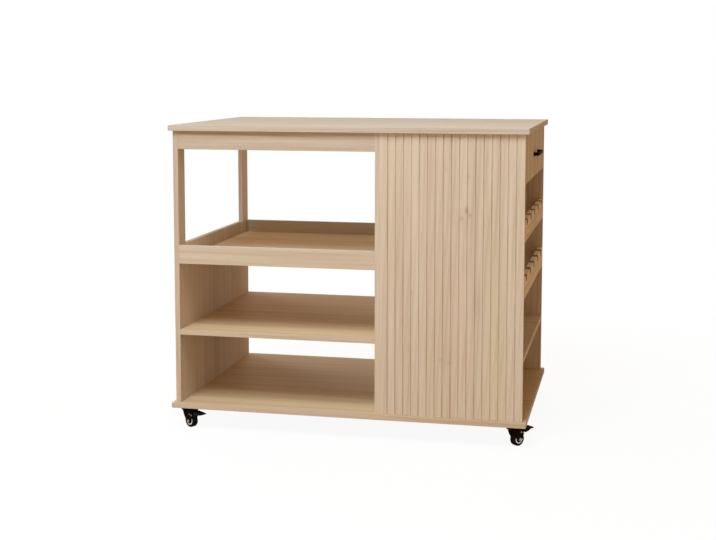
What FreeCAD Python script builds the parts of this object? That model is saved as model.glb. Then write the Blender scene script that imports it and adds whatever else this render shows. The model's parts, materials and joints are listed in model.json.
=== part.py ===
import FreeCAD, Part
import math
import os
import re
import Sketcher

# Kitchen cart on four swivel casters, with an open bay on the left and a fluted cabinet on the right.
# The origin lies on the floor under the middle of the worktop. X runs to the drawer end, Y to the
# back and Z up. Near means towards the front, and far towards the back.

document = FreeCAD.newDocument("kitchen_cart")

# Driving dimensions, in millimetres, degrees and counts.
DIMENSIONS = {
    # Worktop, base and panels
    "top_width": 1050,
    "top_depth": 695,
    "top_thickness": 16,
    "top_overhang": 11,
    "base_thickness": 15,
    "board_thickness": 15,
    "carcass_height": 810,
    "caster_height": 63,
    "cabinet_width": 409,
    "edge_chamfer": 0.5,
    # Open bay
    "rail_height": 54,
    "window_post_depth": 56,
    "tray_rise": 418,
    "mid_shelf_rise": 205,
    # Cabinet
    "slat_count": 18,
    "groove_mouth": 4,
    "groove_floor": 2,
    "groove_depth": 3,
    "low_shelf_rise": 166,
    "upper_rack_drop": 163.5,
    "rack_pitch": 160,
    "rack_height": 60,
    "rack_spacing": 215,
    "bottle_count": 5,
    "neck_notch_radius": 18,
    "body_notch_radius": 40,
    # Drawer
    "drawer_front_height": 137,
    "drawer_front_gap": 2.5,
    "drawer_rear_gap": 44,
    "drawer_height": 100,
    "drawer_side_thickness": 12,
    "drawer_side_lift": 14,
    "drawer_bottom_thickness": 4,
    "drawer_bottom_lift": 10,
    "drawer_groove_depth": 5.5,
    "drawer_groove_play": 0.2,
    # Drawer slides
    "slide_depth": 12.7,
    "slide_height": 35,
    "slide_sheet": 1.2,
    "slide_play": 0.3,
    "slide_lip_gap": 0.5,
    # Drawer pull
    "pull_length": 150,
    "pull_projection": 17,
    "pull_height": 10,
    "pull_bar_depth": 6,
    "pull_foot_length": 10,
    "pull_bevel": 3,
    "pull_screw_radius": 2,
    "pull_screw_head_radius": 4,
    "pull_screw_head_height": 2.5,
    "pull_screw_grip": 9,
    # Fixings
    "dowel_radius": 4,
    "dowel_face_depth": 10,
    "dowel_edge_depth": 20,
    "bore_end_gap": 0.5,
    "bore_clearance": 0.05,
    "dowel_inset": 30,
    "fixing_inset": 80,
    "cam_reach": 34,
    "cam_radius": 7.5,
    "cam_depth": 12,
    "cam_bolt_radius": 2.5,
    "cam_bolt_head_radius": 3.5,
    "cam_bolt_head_length": 4,
    "cam_bolt_face_depth": 10,
    "base_screw_radius": 2.5,
    "base_screw_head_radius": 5,
    "base_screw_head_height": 4,
    "base_screw_length": 50,
    "cut_overrun": 1,
    # Caster plate and kingpin
    "caster_inset": 38,
    "plate_size": 46,
    "plate_thickness": 2.5,
    "plate_corner_radius": 5,
    "plate_hole_spacing": 34,
    "plate_hole_radius": 2.3,
    "race_radius": 16,
    "race_height": 5,
    "race_gap": 0.3,
    "kingpin_radius": 4,
    "kingpin_head_radius": 7,
    "kingpin_head_height": 2,
    "running_clearance": 0.06,
    "caster_screw_radius": 2,
    "caster_screw_head_radius": 3.6,
    "caster_screw_head_height": 2,
    "caster_screw_length": 12,
    # Caster fork, wheel and brake
    "crown_radius": 20,
    "crown_thickness": 3,
    "leg_thickness": 2,
    "leg_gap": 21,
    "leg_eye_radius": 7,
    "caster_trail": 15,
    "wheel_radius": 20,
    "wheel_width": 18,
    "tyre_shoulder": 2.5,
    "hub_radius": 12.5,
    "hub_rim_width": 2.5,
    "hub_recess": 2.5,
    "hub_boss_radius": 6,
    "axle_radius": 3,
    "axle_head_radius": 4.5,
    "axle_head_height": 1.5,
    "pedal_pivot_reach": 10,
    "pedal_pivot_height": 46,
    "pedal_barrel_radius": 3,
    "pedal_pin_radius": 2,
    "pedal_reach": 68,
    "pedal_rise": 0.5,
    "pedal_thickness": 3.5,
    "pedal_width": 24,
    "pedal_lever_width": 17,
    "pedal_paddle_length": 31,
    "pedal_root_rise": 5,
    "pedal_root_drop": 9.5,
    "shoe_reach": 24.5,
    "shoe_length": 5,
    "shoe_drop": 4.1,
    "front_left_heading": -30,
    "front_right_heading": 48,
    "back_left_heading": -20,
    "back_right_heading": 160,
}

# Places and sizes that follow from the driving dimensions.
DERIVED = {
    "panel_left": "-top_width / 2 + top_overhang",
    "panel_right": "top_width / 2 - top_overhang",
    "front_face": "-top_depth / 2 + top_overhang",
    "back_face": "top_depth / 2 - top_overhang",
    "panel_depth": "top_depth - 2 * top_overhang",
    "base_top": "caster_height + base_thickness",
    "carcass_top": "base_top + carcass_height",
    "cabinet_left": "panel_right - cabinet_width",
    "bay_left": "panel_left + board_thickness",
    "bay_right": "cabinet_left - board_thickness",
    "bay_width": "bay_right - bay_left",
    "near_wall": "front_face + board_thickness",
    "far_wall": "back_face - board_thickness",
    "cabinet_depth": "far_wall - near_wall",
    "tray_bottom": "base_top + tray_rise",
    "tray_rim": "tray_bottom + rail_height",
    "mid_shelf_bottom": "base_top + mid_shelf_rise",
    "low_shelf_bottom": "base_top + low_shelf_rise",
    "bottle_pitch": "cabinet_depth / bottle_count",
    "slat_pitch": "cabinet_width / slat_count",
    "drawer_front_bottom": "carcass_top - drawer_front_gap - drawer_front_height",
    "drawer_front_back": "panel_right - board_thickness",
    "upper_rack_bottom": "drawer_front_bottom - upper_rack_drop",
    "lower_rack_bottom": "upper_rack_bottom - rack_pitch",
    "drawer_box_bottom": "drawer_front_bottom + drawer_side_lift",
    "drawer_near_face": "near_wall + slide_depth",
    "drawer_far_face": "far_wall - slide_depth",
    "drawer_rear": "cabinet_left + drawer_rear_gap",
    "drawer_length": "drawer_front_back - drawer_rear",
    "drawer_groove_bottom": "drawer_box_bottom + drawer_bottom_lift",
    "drawer_groove_height": "drawer_bottom_thickness + drawer_groove_play",
    "slide_bottom": "drawer_box_bottom + drawer_height / 2 - slide_height / 2",
    "middle_slide_height": "slide_height - 2 * slide_sheet - 2 * slide_play",
    "inner_slide_height": "middle_slide_height - 2 * slide_sheet - 2 * slide_play",
    "pull_middle": "drawer_front_bottom + drawer_front_height / 2",
    "plate_bottom": "caster_height - plate_thickness",
    "crown_top": "plate_bottom - race_height - race_gap",
    "crown_bottom": "crown_top - crown_thickness",
    "fork_width": "leg_gap + 2 * leg_thickness",
    "dowel_length": "dowel_face_depth + dowel_edge_depth",
    "dowel_bore_radius": "dowel_radius + bore_clearance",
    "cam_bolt_bore_radius": "cam_bolt_head_radius + bore_clearance",
    "pedal_tip_height": "pedal_pivot_height + pedal_rise",
}

# Outline of a fork leg, as shares: across from the swivel axis in caster trails, and up from the
# axle to the underside of the crown.
LEG_OUTLINE_SHARES = [
    (-0.8, 1.0), (-0.73, 0.86), (-0.4, 0.46), (0.17, 0.09), (0.53, -0.02),
    (1.47, 0.0), (2.02, 0.4), (2.1, 0.62), (2.1, 1.0),
]

# Heights of the two dowels in the end of a rail, as shares of its height.
RAIL_DOWEL_SHARES = (0.25, 0.75)

# Heights of the dowels between the cabinet's panels and the divider, as shares of the carcass.
DIVIDER_DOWEL_SHARES = (0.12, 0.72)

NAME = re.compile(r"[a-z]+(?:_[a-z]+)+")

TURNS = {
    "+X": FreeCAD.Rotation(FreeCAD.Vector(0, 1, 0), 90),
    "-X": FreeCAD.Rotation(FreeCAD.Vector(0, 1, 0), -90),
    "+Y": FreeCAD.Rotation(FreeCAD.Vector(1, 0, 0), -90),
    "-Y": FreeCAD.Rotation(FreeCAD.Vector(1, 0, 0), 90),
    "+Z": FreeCAD.Rotation(),
    "-Z": FreeCAD.Rotation(FreeCAD.Vector(1, 0, 0), 180),
}

OPPOSITE = {"+X": "-X", "-X": "+X", "+Y": "-Y", "-Y": "+Y", "+Z": "-Z", "-Z": "+Z"}

# Each sub-part by its name, the bores that each board gets, and the solids that share one name.
pieces = {}
bores = {}
groups = {
    "dowels": [],
    "cam_bolts": [],
    "cam_discs": [],
    "base_screws": [],
    "caster_screws": [],
    "caster_kingpins": [],
}


def fill_sheet():
    """Write the driving dimensions into the sheet, one to a row."""
    sheet = document.addObject("Spreadsheet::Sheet", "dims")
    for row, (alias, value) in enumerate(DIMENSIONS.items(), start=1):
        sheet.set(f"A{row}", alias)
        sheet.set(f"B{row}", str(value))
        sheet.setAlias(f"B{row}", alias)
    document.recompute()


def formula(text):
    """Spell out a sum of named sizes as an expression on the sheet."""
    def spell(match):
        word = match.group(0)
        if word in DERIVED:
            return f"({formula(DERIVED[word])})"
        if word in DIMENSIONS:
            return f"dims.{word}"
        raise KeyError(f"no size is called {word}")
    return NAME.sub(spell, text)


def bind(thing, path, text):
    """Make one property of an object follow a sum of named sizes."""
    thing.setExpression(path, formula(text))


def place(thing, point):
    """Put an object at a point given as three sums of named sizes."""
    for axis, text in zip("xyz", point):
        bind(thing, f"Placement.Base.{axis}", text)


def along(point, direction, distance):
    """Give the point that lies a distance along a direction such as +X."""
    moved = list(point)
    index = "XYZ".index(direction[1])
    moved[index] = f"{moved[index]} {direction[0]} ({distance})"
    return tuple(moved)


# Sketches and features

def new_sketch(body, role, offset_x="0", offset_y="0", offset_z="0"):
    """Attach a sketch to an origin plane of the body, moved within that plane's own frame."""
    sketch = body.newObject("Sketcher::SketchObject", f"{body.Name}_sketch")
    plane = next(feature for feature in body.Origin.OriginFeatures if feature.Role == role)
    sketch.AttachmentSupport = [(plane, "")]
    sketch.MapMode = "FlatFace"
    for axis, text in zip("xyz", (offset_x, offset_y, offset_z)):
        bind(sketch, f"AttachmentOffset.Base.{axis}", text)
    return sketch


def fix_point(sketch, geometry, vertex, x, y):
    """Hold a sketch point at named distances from the sketch's origin."""
    at = sketch.getPoint(geometry, vertex)
    for kind, axis, text, value in (("DistanceX", -2, x, at.x), ("DistanceY", -1, y, at.y)):
        if text == "0":
            sketch.addConstraint(Sketcher.Constraint("PointOnObject", geometry, vertex, axis))
            continue
        index = sketch.addConstraint(Sketcher.Constraint(kind, -1, 1, geometry, vertex, value))
        bind(sketch, f"Constraints[{index}]", text)


def draw_polygon(sketch, corners):
    """Draw a closed outline whose corners follow named sizes."""
    first = sketch.GeometryCount
    count = len(corners)
    turns = [2 * math.pi * index / count for index in range(count)]
    starts = [FreeCAD.Vector(math.cos(turn), math.sin(turn), 0) for turn in turns]
    for index in range(count):
        sketch.addGeometry(Part.LineSegment(starts[index], starts[(index + 1) % count]))
    for index in range(count):
        following = first + (index + 1) % count
        sketch.addConstraint(Sketcher.Constraint("Coincident", first + index, 2, following, 1))
    for index, (x, y) in enumerate(corners):
        fix_point(sketch, first + index, 1, x, y)


def draw_rectangle(sketch, left, low, right, high):
    """Draw a rectangle between two named corners."""
    draw_polygon(sketch, [(left, low), (right, low), (right, high), (left, high)])


def draw_circle(sketch, x, y, radius):
    """Draw a circle whose centre and radius follow named sizes."""
    centre = FreeCAD.Vector(1, 1, 0)
    circle = sketch.addGeometry(Part.Circle(centre, FreeCAD.Vector(0, 0, 1), 1))
    fix_point(sketch, circle, 3, x, y)
    index = sketch.addConstraint(Sketcher.Constraint("Radius", circle, 1))
    bind(sketch, f"Constraints[{index}]", radius)


def add_pad(body, sketch, length, backwards=False):
    """Extrude a sketch into a solid."""
    pad = body.newObject("PartDesign::Pad", f"{body.Name}_pad")
    pad.Profile = sketch
    pad.Reversed = backwards
    bind(pad, "Length", length)
    return pad


def add_through_pocket(body, sketch, backwards=False):
    """Cut a sketch right through the solid."""
    pocket = body.newObject("PartDesign::Pocket", f"{body.Name}_pocket")
    pocket.Profile = sketch
    pocket.Type = "ThroughAll"
    pocket.Reversed = backwards
    return pocket


def add_row(body, feature, sketch, count, pitch):
    """Repeat a feature in a row along its sketch's horizontal axis."""
    row = body.newObject("PartDesign::LinearPattern", f"{body.Name}_row")
    row.Originals = [feature]
    row.Direction = (sketch, ["H_Axis"])
    bind(row, "Occurrences", count)
    bind(row, "Length", f"({pitch}) * ({count} - 1)")
    body.Tip = row
    return row


def add_edge_chamfer(body, feature):
    """Break every edge of the solid a little, as edging strip does."""
    document.recompute()
    chamfer = body.newObject("PartDesign::Chamfer", f"{body.Name}_edges")
    chamfer.Base = (feature, [f"Edge{index + 1}" for index in range(len(feature.Shape.Edges))])
    chamfer.UseAllEdges = True
    bind(chamfer, "Size", "edge_chamfer")
    return chamfer


def new_body(name, point=("0", "0", "0")):
    """Make an empty body at a named place."""
    body = document.addObject("PartDesign::Body", f"{name}_body")
    place(body, point)
    return body


def revolve(name, sketch_role, corners, offset_y, offset_z):
    """Turn an outline about its sketch's horizontal axis."""
    body = new_body(name)
    sketch = new_sketch(body, sketch_role, offset_y=offset_y, offset_z=offset_z)
    draw_polygon(sketch, corners)
    turn = body.newObject("PartDesign::Revolution", f"{name}_turn")
    turn.Profile = sketch
    turn.ReferenceAxis = (sketch, ["H_Axis"])
    return body


# Boards

def lying_board(name, width, depth, thickness, corner):
    """Make a board that lies flat, with its low corner at a named point."""
    body = new_body(name, corner)
    sketch = new_sketch(body, "XY_Plane")
    draw_rectangle(sketch, "0", "0", width, depth)
    add_edge_chamfer(body, add_pad(body, sketch, thickness))
    pieces[name] = body
    return body


def facing_board(name, width, height, thickness, corner):
    """Make a board that faces the front, with its low corner at a named point."""
    body = new_body(name, corner)
    sketch = new_sketch(body, "XZ_Plane")
    draw_rectangle(sketch, "0", "0", width, height)
    add_edge_chamfer(body, add_pad(body, sketch, thickness, backwards=True))
    pieces[name] = body
    return body


def side_board(name, depth, height, thickness, corner, window=None):
    """Make a board that faces the side, with an opening in it if one is given."""
    body = new_body(name, corner)
    sketch = new_sketch(body, "YZ_Plane")
    draw_rectangle(sketch, "0", "0", depth, height)
    if window:
        draw_rectangle(sketch, *window)
    add_edge_chamfer(body, add_pad(body, sketch, thickness))
    pieces[name] = body
    return body


def box(name, size, corner):
    """Make a plain block."""
    block = document.addObject("Part::Box", name)
    for path, text in zip(("Length", "Width", "Height"), size):
        bind(block, path, text)
    place(block, corner)
    return block


def rod(name, radius, length, point, direction):
    """Make a cylinder that starts at a point and runs along a direction."""
    cylinder = document.addObject("Part::Cylinder", name)
    bind(cylinder, "Radius", radius)
    bind(cylinder, "Height", length)
    cylinder.Placement = FreeCAD.Placement(FreeCAD.Vector(), TURNS[direction])
    place(cylinder, point)
    return cylinder


def fuse(name, shapes):
    """Join several shapes into one solid."""
    joined = document.addObject("Part::MultiFuse", name)
    joined.Shapes = shapes
    return joined


def collect(name, solids):
    """Keep several separate solids as one object."""
    compound = document.addObject("Part::Compound", name)
    compound.Links = solids
    return compound


def cut(name, base, tools):
    """Cut the tools out of a shape."""
    result = document.addObject("Part::Cut", name)
    result.Base = base
    result.Tool = tools[0] if len(tools) == 1 else collect(f"{name}_tools", tools)
    return result


def bore(board_names, tool):
    """Note a bore that goes into each of the named boards."""
    for name in board_names:
        bores.setdefault(name, []).append(tool)


# Fixings

def dowel(face_board, edge_board, point, direction):
    """Join an edge to a face with a wooden dowel across their common plane."""
    back = OPPOSITE[direction]
    start = along(point, back, "dowel_face_depth")
    groups["dowels"].append(rod("dowel", "dowel_radius", "dowel_length", start, direction))
    bore_start = along(start, back, "bore_end_gap")
    bore_length = "dowel_length + 2 * bore_end_gap"
    bore((face_board, edge_board), rod("dowel_bore", "dowel_bore_radius", bore_length, bore_start, direction))


def cam_joint(face_board, edge_board, point, direction, cam_direction):
    """Draw an edge onto a face with a bolt and the cam disc that holds its head."""
    back = OPPOSITE[direction]
    start = along(point, back, "cam_bolt_face_depth")
    neck = "cam_bolt_face_depth + cam_reach - cam_bolt_head_length / 2"
    shank = rod("cam_shank", "cam_bolt_radius", neck, start, direction)
    head_start = along(start, direction, neck)
    head = rod("cam_head", "cam_bolt_head_radius", "cam_bolt_head_length", head_start, direction)
    groups["cam_bolts"].append(fuse("cam_bolt", [shank, head]))

    reach = "cam_reach + cam_bolt_head_length"
    passage = rod("cam_passage", "cam_bolt_bore_radius", reach, point, direction)
    centre = along(point, direction, "cam_reach")
    open_face = along(centre, OPPOSITE[cam_direction], "board_thickness / 2")
    disc = rod("cam_blank", "cam_radius", "cam_depth", open_face, cam_direction)
    groups["cam_discs"].append(cut("cam_disc", disc, [passage]))

    seat_start = along(open_face, OPPOSITE[cam_direction], "cut_overrun")
    seat_depth = "cam_depth + cut_overrun + bore_clearance"
    seat = rod("cam_seat", "cam_radius + bore_clearance", seat_depth, seat_start, cam_direction)
    thread_length = "cam_bolt_face_depth + cut_overrun + bore_end_gap"
    thread_start = along(start, back, "bore_end_gap")
    thread = rod("cam_thread", "cam_bolt_radius + bore_clearance", thread_length, thread_start, direction)
    bore((edge_board,), passage)
    bore((edge_board,), seat)
    bore((face_board,), thread)


def base_screw(panel, x, y):
    """Drive a screw up through the base board into the foot of a panel."""
    seat = (x, y, "caster_height")
    shank = rod("base_shank", "base_screw_radius", "base_screw_length", seat, "+Z")
    head = rod("base_head", "base_screw_head_radius", "base_screw_head_height", seat, "+Z")
    groups["base_screws"].append(fuse("base_screw", [shank, head]))
    length = "base_screw_length + bore_end_gap"
    bore(("base_board", panel), rod("base_bore", "base_screw_radius + bore_clearance", length, seat, "+Z"))
    sink_start = along(seat, "-Z", "cut_overrun")
    sink_radius = "base_screw_head_radius + bore_clearance"
    sink_depth = "base_screw_head_height + cut_overrun + bore_clearance"
    bore(("base_board",), rod("base_sink", sink_radius, sink_depth, sink_start, "+Z"))


# The wooden carcass

def make_carcass():
    """Make the worktop, the base board, the standing panels and the shelves."""
    foot = ("-top_width / 2", "-top_depth / 2")
    lying_board("top_board", "top_width", "top_depth", "top_thickness", (*foot, "carcass_top"))
    lying_board("base_board", "top_width", "top_depth", "base_thickness", (*foot, "caster_height"))
    window = ("window_post_depth", "tray_rim - base_top",
              "panel_depth - window_post_depth", "carcass_height - rail_height")
    side_board("left_side_panel", "panel_depth", "carcass_height", "board_thickness",
               ("panel_left", "front_face", "base_top"), window)
    side_board("divider_panel", "panel_depth", "carcass_height", "board_thickness",
               ("bay_right", "front_face", "base_top"))
    facing_board("back_panel", "cabinet_width", "carcass_height", "board_thickness",
                 ("cabinet_left", "far_wall", "base_top"))
    make_fluted_panel()
    for name, y, z in (
        ("top_front_rail", "front_face", "carcass_top - rail_height"),
        ("top_back_rail", "far_wall", "carcass_top - rail_height"),
        ("tray_front_rail", "front_face", "tray_bottom"),
        ("tray_back_rail", "far_wall", "tray_bottom"),
    ):
        facing_board(name, "bay_width", "rail_height", "board_thickness", ("bay_left", y, z))
    lying_board("tray_floor", "bay_width", "cabinet_depth", "board_thickness",
                ("bay_left", "near_wall", "tray_bottom"))
    lying_board("mid_shelf", "bay_width", "panel_depth", "board_thickness",
                ("bay_left", "front_face", "mid_shelf_bottom"))
    lying_board("low_shelf", "cabinet_width", "cabinet_depth", "board_thickness",
                ("cabinet_left", "near_wall", "low_shelf_bottom"))


def make_fluted_panel():
    """Make the cabinet's front, with upright grooves that part it into slats."""
    name = "fluted_front_panel"
    body = facing_board(name, "cabinet_width", "carcass_height", "board_thickness",
                        ("cabinet_left", "front_face", "base_top"))
    groove = new_sketch(body, "XY_Plane")
    draw_polygon(groove, [
        ("slat_pitch - groove_mouth / 2", "0"),
        ("slat_pitch + groove_mouth / 2", "0"),
        ("slat_pitch + groove_floor / 2", "groove_depth"),
        ("slat_pitch - groove_floor / 2", "groove_depth"),
    ])
    first = add_through_pocket(body, groove, backwards=True)
    add_row(body, first, groove, "slat_count - 1", "slat_pitch")


def make_rack_rail(name, x, z, notch_radius):
    """Make a rail across the cabinet with a round notch for each bottle."""
    body = side_board(name, "cabinet_depth", "rack_height", "board_thickness", (x, "near_wall", z))
    notch = new_sketch(body, "YZ_Plane")
    draw_circle(notch, "bottle_pitch / 2", "rack_height", notch_radius)
    first = add_through_pocket(body, notch, backwards=True)
    add_row(body, first, notch, "bottle_count", "bottle_pitch")


def make_racks():
    """Make the two bottle racks, each with a rail for the necks and one for the bodies."""
    outer = "panel_right - board_thickness"
    inner = "panel_right - rack_spacing - board_thickness"
    for level in ("upper", "lower"):
        bottom = f"{level}_rack_bottom"
        make_rack_rail(f"{level}_neck_rail", outer, bottom, "neck_notch_radius")
        make_rack_rail(f"{level}_body_rail", inner, bottom, "body_notch_radius")


def add_panel_fixings():
    """Hold the standing panels between the base board and the worktop."""
    side_rows = [f"{side} {sign} {{inset}}" for side, sign in (("front_face", "+"), ("back_face", "-"))]
    end_rows = [f"{side} {sign} {{inset}}" for side, sign in (("cabinet_left", "+"), ("panel_right", "-"))]
    half = "board_thickness / 2"
    stands = []
    for name, left in (("left_side_panel", "panel_left"), ("divider_panel", "bay_right")):
        for row in side_rows:
            stands.append((name, f"{left} + {half}", row, "-X"))
    for name, near, cam_direction in (
        ("fluted_front_panel", "front_face", "-Y"),
        ("back_panel", "far_wall", "+Y"),
    ):
        for row in end_rows:
            stands.append((name, row, f"{near} + {half}", cam_direction))
    for name, x, y, cam_direction in stands:
        dowel_x, dowel_y = x.format(inset="dowel_inset"), y.format(inset="dowel_inset")
        fixing_x, fixing_y = x.format(inset="fixing_inset"), y.format(inset="fixing_inset")
        dowel("base_board", name, (dowel_x, dowel_y, "base_top"), "+Z")
        dowel("top_board", name, (dowel_x, dowel_y, "carcass_top"), "-Z")
        base_screw(name, fixing_x, fixing_y)
        cam_joint("top_board", name, (fixing_x, fixing_y, "carcass_top"), "-Z", cam_direction)
    for name, near in (("fluted_front_panel", "front_face"), ("back_panel", "far_wall")):
        for share in DIVIDER_DOWEL_SHARES:
            height = f"base_top + carcass_height * {share}"
            dowel("divider_panel", name, ("cabinet_left", f"{near} + {half}", height), "+X")


def add_shelf_fixings():
    """Hold the shelves and the tray floor between their panels."""
    half = "board_thickness / 2"
    for name, bottom in (("tray_floor", "tray_bottom"), ("mid_shelf", "mid_shelf_bottom")):
        height = f"{bottom} + {half}"
        for side, sign in (("near_wall", "+"), ("far_wall", "-")):
            dowel_y, cam_y = f"{side} {sign} dowel_inset", f"{side} {sign} fixing_inset"
            dowel("left_side_panel", name, ("bay_left", dowel_y, height), "+X")
            dowel("divider_panel", name, ("bay_right", dowel_y, height), "-X")
            cam_joint("left_side_panel", name, ("bay_left", cam_y, height), "+X", "+Z")
            cam_joint("divider_panel", name, ("bay_right", cam_y, height), "-X", "+Z")
    height = f"low_shelf_bottom + {half}"
    for side, sign in (("cabinet_left", "+"), ("panel_right", "-")):
        dowel_x, cam_x = f"{side} {sign} dowel_inset", f"{side} {sign} fixing_inset"
        dowel("fluted_front_panel", "low_shelf", (dowel_x, "near_wall", height), "+Y")
        dowel("back_panel", "low_shelf", (dowel_x, "far_wall", height), "-Y")
        cam_joint("fluted_front_panel", "low_shelf", (cam_x, "near_wall", height), "+Y", "+Z")
        cam_joint("back_panel", "low_shelf", (cam_x, "far_wall", height), "-Y", "+Z")


def add_rail_fixings():
    """Pin both ends of every rail with two dowels."""
    half = "board_thickness / 2"
    for name, near, bottom in (
        ("top_front_rail", "front_face", "carcass_top - rail_height"),
        ("top_back_rail", "far_wall", "carcass_top - rail_height"),
        ("tray_front_rail", "front_face", "tray_bottom"),
        ("tray_back_rail", "far_wall", "tray_bottom"),
    ):
        for share in RAIL_DOWEL_SHARES:
            height = f"{bottom} + rail_height * {share}"
            dowel("left_side_panel", name, ("bay_left", f"{near} + {half}", height), "+X")
            dowel("divider_panel", name, ("bay_right", f"{near} + {half}", height), "-X")
    for level in ("upper", "lower"):
        for kind, left in (
            ("neck", "panel_right - board_thickness"),
            ("body", "panel_right - rack_spacing - board_thickness"),
        ):
            for share in RAIL_DOWEL_SHARES:
                x, z = f"{left} + {half}", f"{level}_rack_bottom + rack_height * {share}"
                dowel("fluted_front_panel", f"{level}_{kind}_rail", (x, "near_wall", z), "+Y")
                dowel("back_panel", f"{level}_{kind}_rail", (x, "far_wall", z), "-Y")


# The drawer and its slides

def make_drawer():
    """Make the drawer box, whose bottom sits in grooves in the other four boards."""
    corner = ("drawer_front_back", "near_wall + drawer_front_gap", "drawer_front_bottom")
    facing = new_body("drawer_front", corner)
    sketch = new_sketch(facing, "YZ_Plane")
    draw_rectangle(sketch, "0", "0", "cabinet_depth - 2 * drawer_front_gap", "drawer_front_height")
    add_edge_chamfer(facing, add_pad(facing, sketch, "board_thickness"))

    length = "drawer_length"
    thickness = "drawer_side_thickness"
    near_corner = ("drawer_rear", "drawer_near_face", "drawer_box_bottom")
    far_corner = ("drawer_rear", f"drawer_far_face - {thickness}", "drawer_box_bottom")
    near_side = box("near_side_blank", (length, thickness, "drawer_height"), near_corner)
    far_side = box("far_side_blank", (length, thickness, "drawer_height"), far_corner)
    back_width = f"drawer_far_face - drawer_near_face - 2 * {thickness}"
    back_corner = ("drawer_rear", f"drawer_near_face + {thickness}", "drawer_box_bottom")
    back = box("drawer_back_blank", (thickness, back_width, "drawer_height"), back_corner)

    tongue = "drawer_groove_depth"
    low_x = f"drawer_rear + {thickness} - {tongue}"
    low_y = f"drawer_near_face + {thickness} - {tongue}"
    span_x = f"drawer_length - {thickness} + 2 * {tongue}"
    span_y = f"{back_width} + 2 * {tongue}"
    groove_corner = (low_x, low_y, "drawer_groove_bottom")
    groove = box("drawer_groove", (span_x, span_y, "drawer_groove_height"), groove_corner)
    play = "drawer_groove_play"
    pieces["drawer_bottom"] = box(
        "drawer_bottom_board",
        (f"{span_x} - 2 * {play}", f"{span_y} - 2 * {play}", "drawer_bottom_thickness"),
        (f"{low_x} + {play}", f"{low_y} + {play}", f"drawer_groove_bottom + {play} / 2"),
    )
    pieces["drawer_front"] = facing
    pieces["drawer_near_side"] = near_side
    pieces["drawer_far_side"] = far_side
    pieces["drawer_back"] = back
    bore(("drawer_front", "drawer_near_side", "drawer_far_side", "drawer_back"), groove)


def make_channel(name, height, web_back, web_face, lip_end, corner, far):
    """Make one slide member: an upright web with a lip along its upper and its lower edge.

    The three places across are measured from the cabinet's wall. A member of the far slide is the
    near one turned over.
    """
    body = document.addObject("PartDesign::Body", f"{name}_body")
    if far:
        body.Placement = FreeCAD.Placement(FreeCAD.Vector(), TURNS["-Z"])
        corner = (corner[0], corner[1], f"{corner[2]} + {height}")
    place(body, corner)
    sketch = new_sketch(body, "YZ_Plane")
    draw_polygon(sketch, [
        (web_back, "0"),
        (lip_end, "0"),
        (lip_end, "slide_sheet"),
        (web_face, "slide_sheet"),
        (web_face, f"{height} - slide_sheet"),
        (lip_end, f"{height} - slide_sheet"),
        (lip_end, height),
        (web_back, height),
    ])
    add_pad(body, sketch, "drawer_length")
    pieces[name] = body


def make_slides():
    """Make a three-part telescopic slide on each side of the drawer."""
    step = "slide_sheet + slide_play"
    mouth = "slide_depth - slide_sheet - slide_lip_gap"
    members = {
        "cabinet": ("slide_height", "0", "slide_sheet", mouth),
        "middle": ("middle_slide_height", step, f"{step} + slide_sheet", mouth),
        "drawer": ("inner_slide_height", "slide_depth", "slide_depth - slide_sheet", f"2 * ({step})"),
    }
    for side, wall in (("near", "near_wall"), ("far", "far_wall")):
        for order, (member, (height, *across_texts)) in enumerate(members.items()):
            corner = ("drawer_rear", wall, f"slide_bottom + {order} * ({step})")
            make_channel(f"{side}_slide_{member}", height, *across_texts, corner, side == "far")


def make_pull():
    """Make the bow pull and the two screws that hold it from behind the drawer front."""
    body = new_body("drawer_pull", ("panel_right", "-pull_length / 2", "pull_middle - pull_height / 2"))
    sketch = new_sketch(body, "XY_Plane")
    inside = "pull_projection - pull_bar_depth"
    draw_polygon(sketch, [
        ("0", "0"),
        ("pull_projection - pull_bevel", "0"),
        ("pull_projection", "pull_bevel"),
        ("pull_projection", "pull_length - pull_bevel"),
        ("pull_projection - pull_bevel", "pull_length"),
        ("0", "pull_length"),
        ("0", "pull_length - pull_foot_length"),
        (inside, "pull_length - pull_foot_length"),
        (inside, "pull_foot_length"),
        ("0", "pull_foot_length"),
    ])
    add_pad(body, sketch, "pull_height")
    pieces["drawer_pull"] = body
    screws = []
    for sign in "-+":
        y = f"0 {sign} (pull_length - pull_foot_length) / 2"
        seat = ("drawer_front_back", y, "pull_middle")
        length = "board_thickness + pull_screw_grip"
        shank = rod("pull_shank", "pull_screw_radius", length, seat, "+X")
        head_start = along(seat, "-X", "pull_screw_head_height")
        head = rod("pull_head", "pull_screw_head_radius", "pull_screw_head_height", head_start, "+X")
        screws.append(fuse("pull_screw", [shank, head]))
        hole = rod("pull_hole", "pull_screw_radius + bore_clearance", f"{length} + bore_end_gap", seat, "+X")
        bore(("drawer_front", "drawer_pull"), hole)
    pieces["drawer_pull_screws"] = collect("pull_screw_pair", screws)


# Casters

def put_caster_piece(name, shape, x, y, heading):
    """Stand a piece that was made about the swivel axis under its corner of the base board."""
    # The one degree only sets the axis upright, and the heading then replaces it.
    shape.Placement = FreeCAD.Placement(FreeCAD.Vector(), FreeCAD.Rotation(FreeCAD.Vector(0, 0, 1), 1))
    place(shape, (x, y, "0"))
    bind(shape, "Placement.Rotation.Angle", heading)
    pieces[name] = shape


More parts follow.
